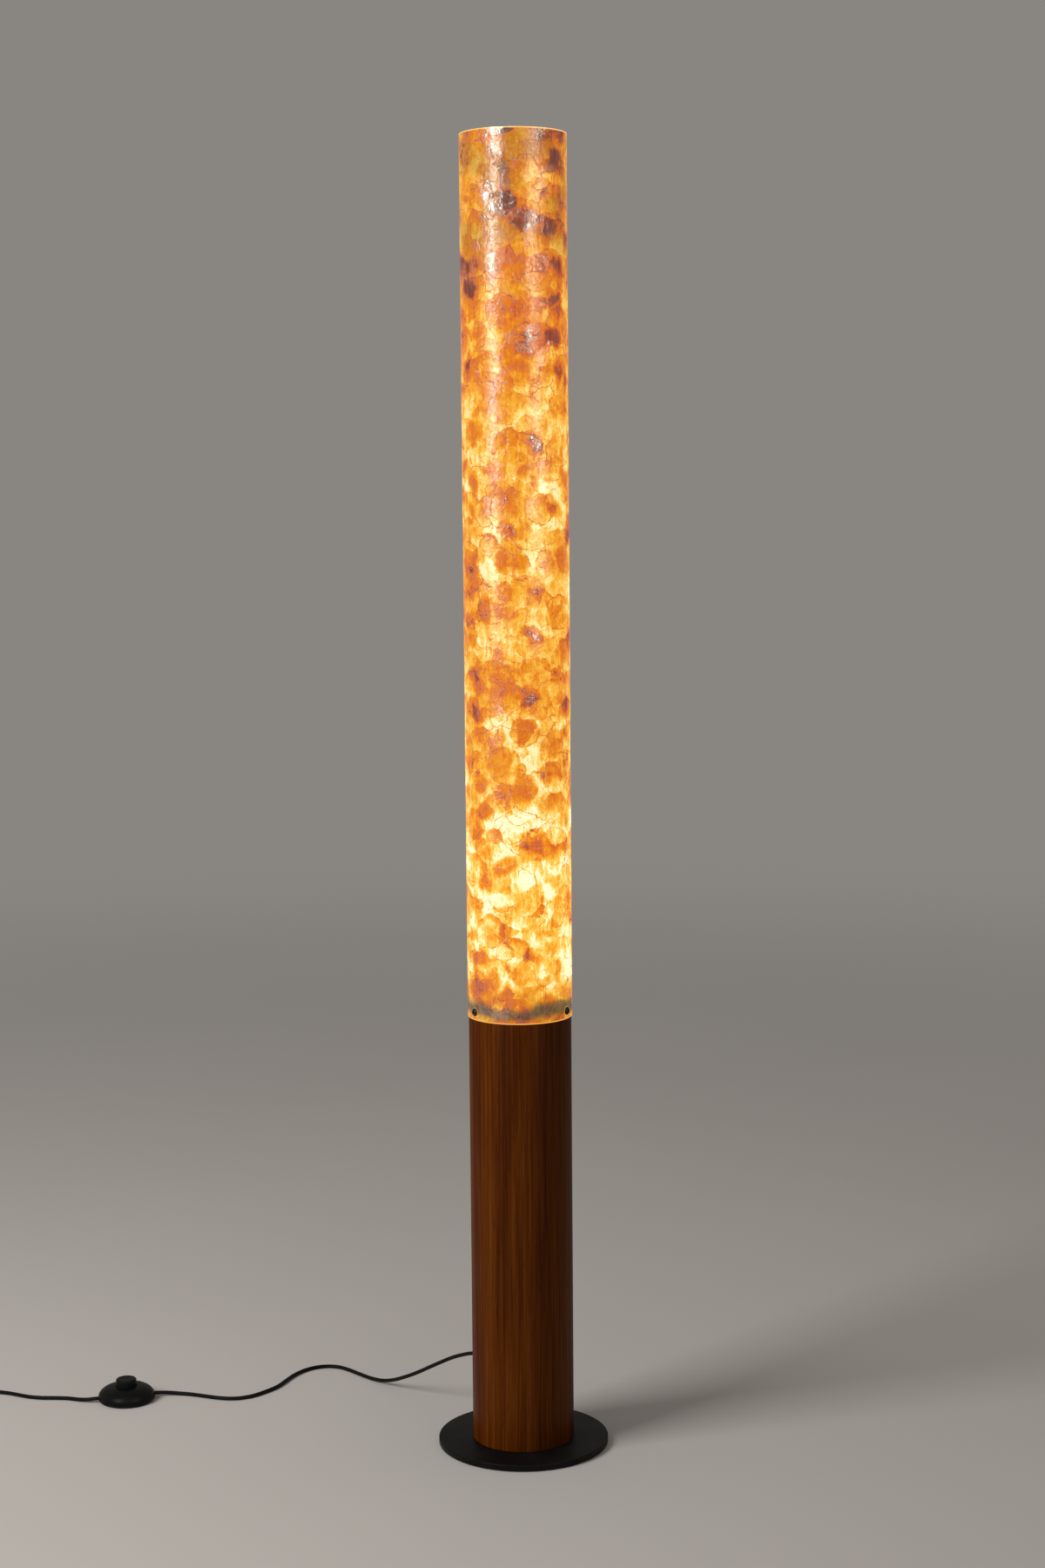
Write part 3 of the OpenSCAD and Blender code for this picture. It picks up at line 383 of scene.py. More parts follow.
screw_places = [Matrix.Rotation(math.radians(turn), 4, "Z")
                @ Matrix.Translation((OUTER / 1000, 0, SCREW_HEIGHT))
                @ Matrix.Rotation(math.radians(90), 4, "Y") for turn in SCREW_TURNS]
black_screws = joined("black_screws", [
    grid_piece("screw", moved(button_head(), place)) for place in screw_places])
stand_for(black_screws, "black_screw", "shade_screws")
print("screws:", len(black_screws.data.polygons), "faces")

# %% [markdown]
# ## The strain relief at the wood
# Where the cord leaves the wood it passes a flanged bush with a tapered sleeve, which has
# grooves round it so that it bends with the cord. It is a turned piece that lies on its
# side: its profile is drawn along the exit's own axis.

# %% Make the strain relief
exit_frame = (Matrix.Translation((0, 0, EXIT_HEIGHT / 1000))
              @ Matrix.Rotation(math.radians(180 - EXIT_TURN), 4, "Z")
              @ Matrix.Rotation(math.radians(90), 4, "Y"))


def grooved_taper(start, stop, r_start, r_stop, grooves, depth):
    """Radius along a taper: it falls evenly from r_start to r_stop, and every groove takes
    off depth times the fourth power of a sine."""
    t = np.linspace(0, 1, grooves * 8 + 1)
    radius = r_start + (r_stop - r_start) * t - depth * np.sin(np.pi * grooves * t)**4
    return np.stack([radius, start + (stop - start) * t], 1).tolist()


relief_profile = ([[2.45, 45], [4.4, 45], [4.5, 45.4], [4.5, 59], [6.8, 59], [7, 59.2], [7, 60.1]]
                  + bend((6.5, 60.1), (0.5, 0.5), 15, 90, 4) + [[4.6, 60.6], [4.25, 60.9]]
                  + grooved_taper(62, 79.6, 4.1, 3.3, 5, 0.45)
                  + bend((2.8, 80.1), (0.4, 0.5), 10, 90, 4)
                  + [[2.4, EXIT_REACH], [2.4, 79], [2.45, 45]])
strain_relief = turned_piece("strain_relief", relief_profile, "cord_bush", "black_plastic",
                             matrix=exit_frame, turns=64)
print("strain relief faces:", len(strain_relief.data.polygons))

# %% [markdown]
# ## The foot switch
# A flattened black dome of moulded plastic with a round push button in the middle. The
# dome is a quarter of an ellipse carried round the axis. Where it meets the base there is
# a fine parting line, and round the button runs a small rounded lip.

# %% Mould the foot switch
switch_frame = (Matrix.Translation((SWITCH[0], SWITCH[1], 0))
                @ Matrix.Rotation(SWITCH_TURN, 4, "Z"))

cover_profile = ([[32.3, 5.1], [34.1, 5.1], [34.45, 5.4]]
                 + bend((14.25, 5), (20.25, 13), 4, 88, 26)
                 + bend((13.85, 17.5), (0.6, 0.6), 75, 105, 4)
                 + bend((13.35, 17.5), (0.5, 0.5), 100, 180, 5)
                 + [[12.85, 16.2]] + bend((14.25, 5), (18.25, 11), 90, 2, 20) + [[32.3, 5.1]])
switch_shell = turned_piece("switch_shell", cover_profile, "switch_cover", "switch_shell",
                            matrix=switch_frame)

button_profile = ([[0, 8.2], [3, 8.2], [3, 24.8], [10.9, 24.8], [10.9, 13.8], [14.05, 13.8],
                   [14.05, 15.8], [12.5, 15.8], [12.5, 24.6]]
                  + bend((10.6, 24.9), (1.9, 2.0), 0, 88, 8)
                  + [[10.1, 26.87], [9.3, 26.72], [7, 26.5], [3.5, 26.38], [0, 26.35]])
push_button = turned_piece("push_button", button_profile, "switch_button", "switch_button",
                           body="button", matrix=switch_frame, turns=96)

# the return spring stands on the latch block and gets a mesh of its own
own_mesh(nodes["switch_spring"])
print("switch:", switch_shell.dimensions[:], push_button.dimensions[:])

# %% [markdown]
# ## The plug
# A flat two-pin plug is moulded onto the cord in one piece. Its cross-section is a soft
# rectangle that narrows towards the cord and then becomes a round, grooved sleeve. The
# section is a superellipse, |x/w|^n + |z/h|^n = 1: a large n gives a boxy section and
# n = 2 gives a circle, so one formula makes the whole body.

# %% Mould the plug
PLUG_MIDDLE = -736.5


def plug_points(turns=64):
    """Ring k lies at y[k] with half width w, half height h, middle height m and exponent
    n. Its points are w * sign(cos a) |cos a|^(2/n) and the same for the height."""
    body = [(78, 0, 0, 7, 4), (78, 11.5, 5.6, 7, 4), (78.3, 12.2, 6.2, 7, 4),
            (79.5, 13.2, 6.8, 7, 4), (83, 15.6, 7, 7, 4), (87, 17.2, 7, 7, 4),
            (90, 17.4, 7, 7, 4), (94, 16.2, 7, 7, 3.8),
            (98, 14.2, 6.95, 7, 3.6), (102, 11.9, 6.8, 7.05, 3.4), (106, 9.6, 6.5, 7.1, 3),
            (109.5, 7.6, 6.0, 7.2, 2.6), (112, 6.0, 5.3, 7.35, 2.2), (113.6, 5.0, 4.95, 7.5, 2)]
    sleeve = [(y, r, r, 7.5, 2) for r, y in grooved_taper(114.5, 137, 4.8, 3.4, 6, 0.5)]
    end = [(137.7, 3.1, 3.1, 7.5, 2), (138, 2.6, 2.6, 7.5, 2), (138, 0, 0, 7.5, 2)]
    y, w, h, m, n = np.array(body + sleeve + end, float).T[:, :, None]
    angle = np.arange(turns) * 2 * np.pi / turns
    shape = lambda v: np.sign(v) * np.abs(v)**(2 / n)
    x, z = w * shape(np.cos(angle)), h * shape(np.sin(angle))
    return grid_of(PLUG_MIDDLE + x, y, m + z) / 1000


plug = grid_piece("plug", plug_points())
stand_for(plug, "plug_moulding", "plug_body")
print("plug:", plug.dimensions[:])

# %% [markdown]
# ## What belongs to the cord
# The cord is the lamp's only soft piece. Its two stretches are the tubes swept above.

print("the cord has two stretches")

# %% [markdown]
# ## Finishes from nodes
# A finish is a small network of shader nodes. It reads the point's own place on the piece
# in metres, so a pattern keeps its real size and never slides. A few short helpers keep
# the networks readable. Each adds its node to the tree of the socket that it is given.

# %% Helpers for shader nodes
def feed(tree, sockets, values):
    """Sets each socket's value, or links another node's socket to it. The keys are names,
    in which _ stands for a space, or numbers."""
    for key, value in values.items():
        socket = sockets[key.replace("_", " ") if isinstance(key, str) else key]
        if isinstance(value, bpy.types.NodeSocket):
            tree.links.new(value, socket)
        else:
            socket.default_value = value


def add(tree, kind, inputs=(), **settings):
    """A new shader node. The settings are its properties; the inputs are numbers, colours
    or other nodes' sockets, by name or in order."""
    made = tree.nodes.new("ShaderNode" + kind)
    for key, value in settings.items():
        setattr(made, key, value)
    feed(tree, made.inputs, inputs if isinstance(inputs, dict) else dict(enumerate(inputs)))
    return made


def calc(operation, *values):
    """A sum of numbers and sockets. At least one value is a socket."""
    tree = next(value.id_data for value in values if isinstance(value, bpy.types.NodeSocket))
    return add(tree, "Math", values, operation=operation).outputs[0]


plus, minus, times = (partial(calc, name) for name in ("ADD", "SUBTRACT", "MULTIPLY"))
larger, smaller, exp = (partial(calc, name) for name in ("MAXIMUM", "MINIMUM", "EXPONENT"))


def vector_calc(operation, vector, *values):
    made = add(vector.id_data, "VectorMath", [vector, *values], operation=operation)
    gives_number = operation in ("DOT_PRODUCT", "DISTANCE", "LENGTH")
    return made.outputs["Value" if gives_number else "Vector"]


def scaled(vector, factor):
    inputs = {0: vector, "Scale": factor}
    return add(vector.id_data, "VectorMath", inputs, operation="SCALE").outputs[0]


def soft_step(value, start, stop, low=0.0, high=1.0):
    """Goes from low to high, with soft ends, while the value goes from start to stop."""
    return add(value.id_data, "MapRange", [value, start, stop, low, high],
               interpolation_type="SMOOTHSTEP").outputs[0]


def blend(factor, first, second):
    inputs = {0: factor, 6: first, 7: second}
    return add(factor.id_data, "Mix", inputs, data_type="RGBA").outputs[2]


def noise(place, scale, detail=2.0, roughness=0.5, colour=False):
    made = add(place.id_data, "TexNoise", {"Vector": place, "Scale": scale, "Detail": detail,
                                           "Roughness": roughness})
    return made.outputs[1 if colour else 0]


def stretched(place, scale):
    return add(place.id_data, "Mapping", {"Vector": place, "Scale": scale}).outputs[0]


def wander(place, scale, detail, roughness, reach):
    """A shift that changes from place to place: noise from -0.5 to 0.5, times reach."""
    way = noise(place, scale, detail, roughness, colour=True)
    return scaled(vector_calc("SUBTRACT", way, (0.5, 0.5, 0.5)), reach)


print("nodes can be added, summed, blended and stretched")

# %% [markdown]
# ## Groups and materials
# A node group is a network that others use like a single node. A finish is a material
# with one Principled shader, which covers everything from felt to steel.

# %% Helpers for groups and materials
def new_group(name, inputs, outputs):
    """A node group. The sockets Place and Lean are vectors, and all others are numbers."""
    tree = bpy.data.node_groups.new(name, "ShaderNodeTree")
    for side, keys in (("INPUT", inputs), ("OUTPUT", outputs)):
        for key in keys:
            kind = "Vector" if key in ("Place", "Lean") else "Float"
            tree.interface.new_socket(key, in_out=side, socket_type="NodeSocket" + kind)
    return tree, tree.nodes.new("NodeGroupInput").outputs, tree.nodes.new("NodeGroupOutput").inputs


def use(group, **inputs):
    tree = inputs["Place"].id_data
    made = tree.nodes.new("ShaderNodeGroup")
    made.node_tree = group
    feed(tree, made.inputs, inputs)
    return made.outputs


def new_finish(name, **fixed):
    """A material with one Principled shader. The fixed values go on its own sockets.
    Returns the material, its tree and the place on the piece."""
    material = bpy.data.materials.new(name)
    material.use_nodes = True
    tree = material.node_tree
    feed(tree, tree.nodes["Principled BSDF"].inputs, fixed)
    return material, tree, add(tree, "TexCoord").outputs["Object"]


def opaque(colour, share=1.0):
    """The colour times a share, with full opacity, as a colour socket takes it."""
    return tuple(share * value for value in colour) + (1,)


def join(tree, **links):
    """Links sockets to the shader: Base_Color=..., Roughness=..., and for the relief
    height=(socket, depth in metres) or height=(socket, depth, normal to start from)."""
    if "height" in links:
        relief = dict(zip(("Height", "Distance", "Normal"), links.pop("height")))
        links["Normal"] = add(tree, "Bump", relief).outputs[0]
    feed(tree, tree.nodes["Principled BSDF"].inputs, links)


print("groups and materials can be made")

# %% [markdown]
# ## Patterns that several finishes share
# Sanded wood, moulded plastic and plated steel look alive because of small uneven things:
# patches that shine a little more, a fine grain that breaks up the highlight, a trace of
# dust. Each effect is one node group, and each finish uses it with its own sizes.

# %% Build the shared patterns
def moulded_grain_group():
    """Fine grain of a moulded or painted surface. Height is fine noise; Patch is slow
    noise from 0 to 1; Dust is a mask of sparse pale specks, more of them in some patches."""
    tree, given, result = new_group("moulded_grain", ["Place", "Grain", "Patches", "Dust Amount"],
                                    ["Height", "Patch", "Dust"])
    place = given["Place"]
    height = noise(place, given["Grain"], 3)
    patch = soft_step(noise(place, given["Patches"], 4), 0.3, 0.7)
    specks = soft_step(noise(place, 900.0, 1), 0.68, 0.8)
    where = soft_step(noise(place, 14.0, 3), 0.42, 0.7)
    dust = times(times(specks, where), given["Dust Amount"])
    feed(tree, result, {"Height": height, "Patch": patch, "Dust": dust})
    return tree


def fibre_group():
    """Long fibres along Z: noise whose place is squeezed along Z, so it draws out into
    streaks. Streak is fine, Band is wide, Pore marks short dark lines."""
    tree, given, result = new_group("long_fibres", ["Place", "Fineness", "Wander"],
                                    ["Streak", "Band", "Pore"])
    drift = wander(stretched(given["Place"], (6, 6, 2.2)), 1.0, 2, 0.5, given["Wander"])
    place = vector_calc("ADD", given["Place"], drift)

    def streaks(squeeze, fineness, detail, roughness=0.5):
        flat = stretched(place, (1, 1, squeeze))
        return noise(flat, times(given["Fineness"], fineness), detail, roughness)

    pore = soft_step(streaks(0.035, 3.0, 2), 0.62, 0.74)
    feed(tree, result, {"Streak": streaks(0.016, 1.0, 4, 0.6), "Band": streaks(0.02, 0.16, 3),
                        "Pore": pore})
    return tree


def shell_layer_group():
    """One layer of shell pieces. The cells of a Voronoi pattern give each piece a centre
    and a random colour. Cover is 1 inside a disc round the centre, Tone is the piece's
    own random number, Slope runs from one side of the piece to the other, Rim is a thin
    line along the disc's edge, and Lean is the way in which the piece lies askew."""
    tree, given, result = new_group("shell_layer", ["Place", "Scale", "Size", "Softness", "Line"],
                                    ["Cover", "Tone", "Slope", "Rim", "Lean"])
    cells = add(tree, "TexVoronoi", {"Vector": given["Place"], "Scale": given["Scale"],
                                     "Randomness": 0.9}).outputs
    cover = soft_step(cells["Distance"], plus(given["Size"], given["Softness"]),
                      minus(given["Size"], given["Softness"]))
    tone = add(tree, "SeparateColor", [cells["Color"]]).outputs[0]
    offset = vector_calc("SUBTRACT", given["Place"], cells["Position"])
    along = vector_calc("SUBTRACT", cells["Color"], (0.5, 0.5, 0.1))
    slope = times(vector_calc("DOT_PRODUCT", offset, along), given["Scale"])
    lean = vector_calc("SUBTRACT", cells["Color"], (0.5, 0.5, 0.5))
    off_edge = calc("ABSOLUTE", minus(cells["Distance"], given["Size"]))
    rim = soft_step(off_edge, given["Line"], 0.0)
    feed(tree, result, {"Cover": cover, "Tone": tone, "Slope": slope, "Rim": rim, "Lean": lean})
    return tree


moulded_grain = moulded_grain_group()
long_fibres = fibre_group()
shell_layer = shell_layer_group()
print("shared patterns:", moulded_grain.name, long_fibres.name, shell_layer.name)

# %% [markdown]
# ## The layers of the shade
# The wall of the shade holds several layers of flat shell pieces. A picture laid round the
# tube would do, but cells in space need none: each cell gives one piece a centre, a tone
# and a lean. The front layer has crisp edges. The deeper ones are blurred by the shell
# before them.

# %% Lay the layers of shell
def shell_layers(place, height):
    """Four layers of pieces from the outside inwards, the fibres in the shell and the fine
    dark lines: cracks, and the rims of some pieces. The place wanders by a few millimetres,
    which makes the outlines ragged, and by more for the two inner layers."""
    ragged = vector_calc("ADD", place, wander(place, 42.0, 6, 0.70, 0.017))
    blotchy = vector_calc("ADD", ragged, wander(place, 30.0, 3, 0.6, 0.030))
    shifted = lambda start, *way: vector_calc("ADD", start, way)
    layer = lambda start, scale, size, softness: use(
        shell_layer, Place=start, Scale=scale, Size=size, Softness=softness, Line=0.022)

    front = layer(ragged, 30.0, 0.60, 0.03)
    second = layer(shifted(ragged, 0.31, 0.17, 0.53), 27.0, 0.55, 0.05)
    deep = layer(shifted(blotchy, 0.73, 0.41, 0.29), 36.0, 0.42, 0.16)
    thick_size = soft_step(height, 1.1, 1.3, 0.29, 0.39)
    thick = layer(shifted(blotchy, 0.11, 0.67, 0.91), 29.0, thick_size, 0.20)
    fibres = use(long_fibres, Place=ragged, Fineness=420.0, Wander=0.01)

    cells = {"Vector": shifted(ragged, 0.2, 0.5, 0.1), "Scale": 21.0}
    to_crack = add(place.id_data, "TexVoronoi", cells, feature="DISTANCE_TO_EDGE").outputs["Distance"]
    cracks = times(soft_step(to_crack, 0.016, 0.0), soft_step(noise(place, 26.0, 3), 0.50, 0.58))
    rims = times(larger(front["Rim"], times(second["Rim"], 0.6)),
                 soft_step(noise(place, 30.0, 3), 0.40, 0.60))
    return SimpleNamespace(ragged=ragged, front=front, second=second, deep=deep, thick=thick,
                           fibres=fibres, lines=larger(cracks, rims))


print("the layers: front, second, deep and thick")

# %% [markdown]
# ## The light and the thickness of the wall
# The wall is lit from behind, most strongly at the height of the bulb, so its colour comes
# from how much light gets through. Clear resin lets nearly all of it pass, and every shell
# piece in the way takes out a share. So the finish adds up the optical thickness of all
# that the light passes. Real light in a real wall would be slow and can't be exported.

# %% Add up the thickness of the wall
BULB_HEIGHT, BULB_REACH = 0.650, 0.105


def bulb_light(place, height):
    """The light behind the wall, as a power of e: a peak at the bulb, patches that darken
    towards the top, and a little less at the foot. Returns the light and the peak."""
    from_bulb = calc("DIVIDE", minus(height, BULB_HEIGHT), BULB_REACH)
    peak = exp(times(calc("POWER", calc("ABSOLUTE", from_bulb), 4.0), -1.0))
    fall = times(soft_step(height, 1.30, 1.41, 0.0, -0.30),
                 soft_step(noise(place, 22.0, 2), 0.40, 0.60, 1.5, 0.2))
    light = plus(times(peak, 0.10), fall)
    return plus(light, soft_step(height, 0.530, 0.565, -0.10, 0.0)), peak


def shell_thickness(place, height, peak, shell):
    """The optical thickness of everything that the light passes. A layer gives its cover
    times an amount that differs from piece to piece and from one side of it to the other.
    Near the bulb thick pieces and the wall count for less, towards the top both count for
    more, and the wall also at the foot: painted light, for a glow that is whiter at the bulb
    and redder and dimmer towards the ends."""
    centred = lambda pattern, amount: times(minus(pattern, 0.5), amount)

    def layer_part(layer, tone, slope, least):
        amount = plus(times(layer["Tone"], tone), times(layer["Slope"], slope))
        return times(layer["Cover"], plus(amount, least))

    front_part = layer_part(shell.front, 0.55, 1.5, 0.10)
    second_part = layer_part(shell.second, 0.45, 1.1, 0.15)
    deep_part = times(shell.deep["Cover"], times(shell.deep["Tone"], 1.3))
    thick_amount = times(calc("POWER", shell.thick["Tone"], 1.5), 2.2)
    thick_part = times(shell.thick["Cover"], thick_amount)
    # painted light: thick pieces count for less near the bulb and for more towards the top
    more_above = minus(soft_step(height, 1.1, 1.4, 1.0, 2.0), times(peak, 0.55))
    one_sided = soft_step(shell.thick["Slope"], -0.15, 0.12, 0.45, 1.15)
    thick_part = times(times(thick_part, more_above), one_sided)
    speck = soft_step(noise(place, 420.0, 2), 0.66, 0.73)

    thickness = front_part
    for part in (second_part, deep_part, thick_part,
                 centred(noise(shell.ragged, 20.0, 5, 0.65), 3.0),
                 centred(noise(shell.ragged, 120.0, 5, 0.7), 2.3),
                 centred(shell.fibres["Streak"], 2.0),
                 times(shell.lines, 1.5), times(speck, 1.2)):
        thickness = plus(part, thickness)
    # painted light: the wall counts for more towards the top and at the foot, and less at the bulb
    wall = plus(soft_step(height, 1.12, 1.36, 0.44, 0.95),
                soft_step(height, 0.535, 0.568, 0.45, 0.0))
    wall = minus(wall, times(peak, 0.50))
    return larger(plus(larger(thickness, -0.25), wall), 0.12)


print("the bulb lights the wall round", BULB_HEIGHT, "m")

# %% [markdown]
# ## The colour of the light
# Shell takes out little of the red, more of the green and most of the blue. That is the
# law of absorption: light through = exp(-a * thickness), with one a for each colour. The
# exponential makes white, yellow, orange and brown by itself.

# %% Let the light through
GLOW_STRENGTH = 1.6


def glow_through(light, thickness):
    """For red, green and blue: strength * exp(light - absorb * thickness)."""
    channels = []
    for strength, absorb in ((1.20, 0.27), (1.05, 0.95), (0.88, 3.5)):
        passed = exp(minus(light, times(thickness, absorb)))
        channels.append(times(passed, strength / GLOW_STRENGTH))
    return add(light.id_data, "CombineColor", channels).outputs[0]


def bright_edges(place, height, glow):
    """Adds thin bright lines where light leaves the wall: at its cut ends, and round the
    holes of the three screws."""
    top, foot = TOP / 1000, JOINT / 1000
    top_line = soft_step(height, top - 0.0018, top - 0.0008)
    foot_line = soft_step(height, foot + 0.0018, foot + 0.0008)
    glow = blend(top_line, glow, (0.70, 0.38, 0.10, 1))
    glow = blend(foot_line, glow, (0.62, 0.27, 0.045, 1))
    to_screws = []
    for turn in np.radians(SCREW_TURNS):
        screw = (OUTER / 1000 * math.cos(turn), OUTER / 1000 * math.sin(turn), SCREW_HEIGHT)
        to_screws.append(vector_calc("DISTANCE", place, screw))
    nearest = smaller(smaller(to_screws[0], to_screws[1]), to_screws[2])
    ring = soft_step(nearest, 0.0056, 0.0050)
    return blend(ring, glow, (0.40, 0.15, 0.025, 1))


print("the glow has a strength of", GLOW_STRENGTH)

# %% [markdown]
# ## The shade's finish
# The last step puts the glow together with what the eye sees of the shell itself: silver
# grey where it is thick, creased, and under a coat of polished resin that mirrors the
# lights. Crease and lean are relief, as they are too fine for the mesh.

# %% Mix the shade's finish
def shell_laminate():
    material, tree, place = new_finish(
        "shell_in_resin", Emission_Strength=GLOW_STRENGTH, IOR=1.5, Specular_IOR_Level=0.7)
    height = add(tree, "SeparateXYZ", [place]).outputs["Z"]
    shell = shell_layers(place, height)
    light, peak = bulb_light(place, height)
    thickness = shell_thickness(place, height, peak, shell)

    # the thickest shell stops nearly all the light and shines like mother of pearl
    dense = minus(thickness, light)
    light = minus(light, times(soft_step(dense, 2.2, 3.8), 0.75))
    nacre = soft_step(dense, 1.7, 3.3)

    # the wooden disc inside the foot keeps the light away, up to a wavy line
    wavy = times(minus(noise(place, 20.0, 4, 0.6), 0.5), 0.042)
    foot = soft_step(plus(height, wavy), 0.519, 0.532, 1.0, 0.0)
    leak = soft_step(plus(height, times(wavy, 0.3)), 0.5115, 0.5200, 1.0, 0.0)
    light = plus(light, times(foot, minus(times(leak, 1.7), 1.9)))
    glow = bright_edges(place, height, glow_through(light, thickness))

    # seen from outside, thick shell is silver grey and thin shell is dark amber
    fine = soft_step(noise(stretched(place, (1, 1, 0.25)), 190.0, 4), 0.3, 0.7)
    # painted light: in front of the wooden disc, where no glow comes from behind, the shell is
    # painted silver grey and partly metallic
    disc = times(foot, minus(1.0, leak))
    silver = blend(fine, (0.125, 0.135, 0.100, 1), (0.29, 0.295, 0.255, 1))
    base = blend(larger(nacre, disc), (0.04, 0.010, 0.001, 1), silver)
    metal = larger(times(nacre, 0.95), times(disc, 0.75))

    # the resin lies thick and glossy on some pieces and is thin and dull on others
    shine = soft_step(noise(shell.ragged, 24.0, 3), 0.42, 0.60, 0.20, 0.08)
    crinkle = calc("ABSOLUTE", minus(noise(shell.ragged, 125.0, 2), 0.5))
    front, second = shell.front, shell.second
    relief = plus(times(front["Cover"], plus(front["Slope"], 0.5)), times(crinkle, 2.2))
    slopes = plus(second["Slope"], shell.fibres["Streak"])
    relief = plus(relief, times(slopes, 0.35))
    relief = minus(relief, times(shell.lines, 0.4))

    # each piece lies a few degrees askew, so a long reflection breaks up from piece to piece
    facing = add(tree, "NewGeometry").outputs["Normal"]
    for layer, amount in ((front, 0.24), (second, 0.07)):
        tilt = scaled(layer["Lean"], times(layer["Cover"], amount))
        facing = vector_calc("ADD", facing, tilt)
    facing = vector_calc("NORMALIZE", facing)
    join(tree, Base_Color=base, Emission_Color=glow, Roughness=shine,
         Metallic=metal, height=(relief, 0.0006, facing))
    return material


shade_finish = shell_laminate()
print("shade finish:", len(shade_finish.node_tree.nodes), "nodes")

# %% [markdown]
# ## The stained wood
# The tube is a light hardwood with straight grain along its length, stained a warm
# reddish brown and given a thin satin lacquer. Stain sinks deeper into the open pores, so
# they show as short dark lines. The wide bands are growth rings cut lengthwise.

# %% Stain the wood
def stained_wood(dark, middle, light, fineness=400.0, gloss=0.42):
    material, tree, place = new_finish("stained_wood", IOR=1.5, Specular_IOR_Level=0.05)
    fibres = use(long_fibres, Place=place, Fineness=fineness, Wander=0.009)
    stain = noise(stretched(place, (9, 9, 3)), 1.0, 3)
    tone = plus(minus(fibres["Streak"], 0.225), times(fibres["Band"], 0.75))
    tone = plus(tone, times(stain, 0.35))
    colour = blend(soft_step(tone, 0.62, 0.86), dark, middle)
    colour = blend(soft_step(tone, 0.84, 1.05), colour, light)
    colour = blend(times(fibres["Pore"], 0.7), colour, opaque(dark[:3], 0.3))
    ground = use(moulded_grain, Place=place, Grain=600.0, Patches=12.0, Dust_Amount=0.2)
    shine = plus(times(fibres["Streak"], 0.14),
                 calc("MULTIPLY_ADD", ground["Patch"], 0.06, gloss - 0.1))
    relief = minus(times(fibres["Streak"], 0.5), fibres["Pore"])
    join(tree, Base_Color=colour, Roughness=shine, height=(relief, 0.00012))
    return material


wood_finish = stained_wood(dark=(0.055, 0.0100, 0.0002, 1), middle=(0.092, 0.0210, 0.0008, 1),
                           light=(0.130, 0.0350, 0.0026, 1))
print("wood finish:", len(wood_finish.node_tree.nodes), "nodes")

# %% [markdown]
# ## Plastics, rubber, felt and board
# The plastics differ in colour, gloss and in the fineness of their moulded grain. One
# recipe makes them all: slow patches change the gloss a little, fine grain breaks up the
# highlight and a little dust sits on the dark ones. Felt and fibreboard have a deep grain.

# %% Mould the plastics
DUST = (0.32, 0.30, 0.27, 1)


def moulded(name, colour, roughness, grain=1500.0, depth=0.00006, dust=0.0, patch=0.12, **fixed):
    material, tree, place = new_finish(name, **fixed)
    grain_of = use(moulded_grain, Place=place, Grain=grain, Patches=28.0, Dust_Amount=dust)
    lighter = [min(1.0, v * (1 + 2.2 * patch) + 0.002) for v in colour]
    tone = blend(grain_of["Patch"], opaque(colour), opaque(lighter))
    darker = times(grain_of["Height"], patch)
    tone = blend(darker, tone, opaque(colour, 0.6))
    tone = blend(grain_of["Dust"], tone, DUST)
    shine = calc("MULTIPLY_ADD", grain_of["Patch"], 0.09, roughness - 0.04)
    join(tree, Base_Color=tone, Roughness=shine, height=(grain_of["Height"], depth))
    return material


def black(name, colour, roughness, grain, dust, depth=0.00005, specular=0.10):
    return moulded("black_" + name, colour, roughness, grain, depth, dust,
                   Specular_IOR_Level=specular)


finishes = {
    "shell_laminate": shade_finish,
    "stained_wood": wood_finish,
    "black_steel": black("powder_coat", (0.0045, 0.0043, 0.0042), 0.46, 1100.0, 0.25),
    "black_plastic": black("plastic", (0.0075, 0.0075, 0.0078), 0.42, 1800.0, 0.1, specular=0.20),
    "cord_jacket": black("cord_jacket", (0.0045, 0.0045, 0.0045), 0.44, 1300.0, 0.2),
    "switch_shell": black("switch_shell", (0.0040, 0.0040, 0.0042), 0.38, 2200.0, 0.2),
    "switch_button": black("push_button", (0.0060, 0.0060, 0.0063), 0.46, 2600.0, 0.2),
    "plug_moulding": black("plug_moulding", (0.0065, 0.0065, 0.0066), 0.46, 1500.0, 0.25,
                           0.00008, 0.15),
    "white_plastic": moulded("white_plastic", (0.78, 0.77, 0.74), 0.35, 1500.0, 0.00003, 0.0, 0.03),
    "ivory_plastic": moulded("ivory_plastic", (0.70, 0.64, 0.50), 0.40, 1500.0, 0.00005, 0.0, 0.05),
    "porcelain": moulded("glazed_porcelain", (0.80, 0.79, 0.76), 0.16, 260.0, 0.00006, 0.0, 0.03),
    "black_glass": moulded("black_glass", (0.010, 0.010, 0.016), 0.08, 300.0, 0.00004, 0.0, 0.1),
    "wire_cores": moulded("brown_wire_cores", (0.16, 0.055, 0.018), 0.42, 1600.0, 0.00004, 0.0),
    "rubber_pad": moulded("grey_rubber", (0.030, 0.030, 0.031), 0.70, 1200.0, 0.00012, 0.4),
    "felt": moulded("charcoal_felt", (0.035, 0.034, 0.033), 0.92, 2600.0, 0.0005, 0.6, 0.4,
                    Sheen_Weight=0.4, Sheen_Roughness=0.6),
    "fibreboard": moulded("raw_fibreboard", (0.30, 0.19, 0.10), 0.80, 900.0, 0.00025, 0.0, 0.25),
}
print("moulded finishes:", len(finishes))

# %% [markdown]
# ## Metals
# Plated and bare metal parts take their colour from the reflection itself. Their gloss
# changes in small patches where plating is duller or hands have touched it, and turned
# parts carry fine lines round their axis.

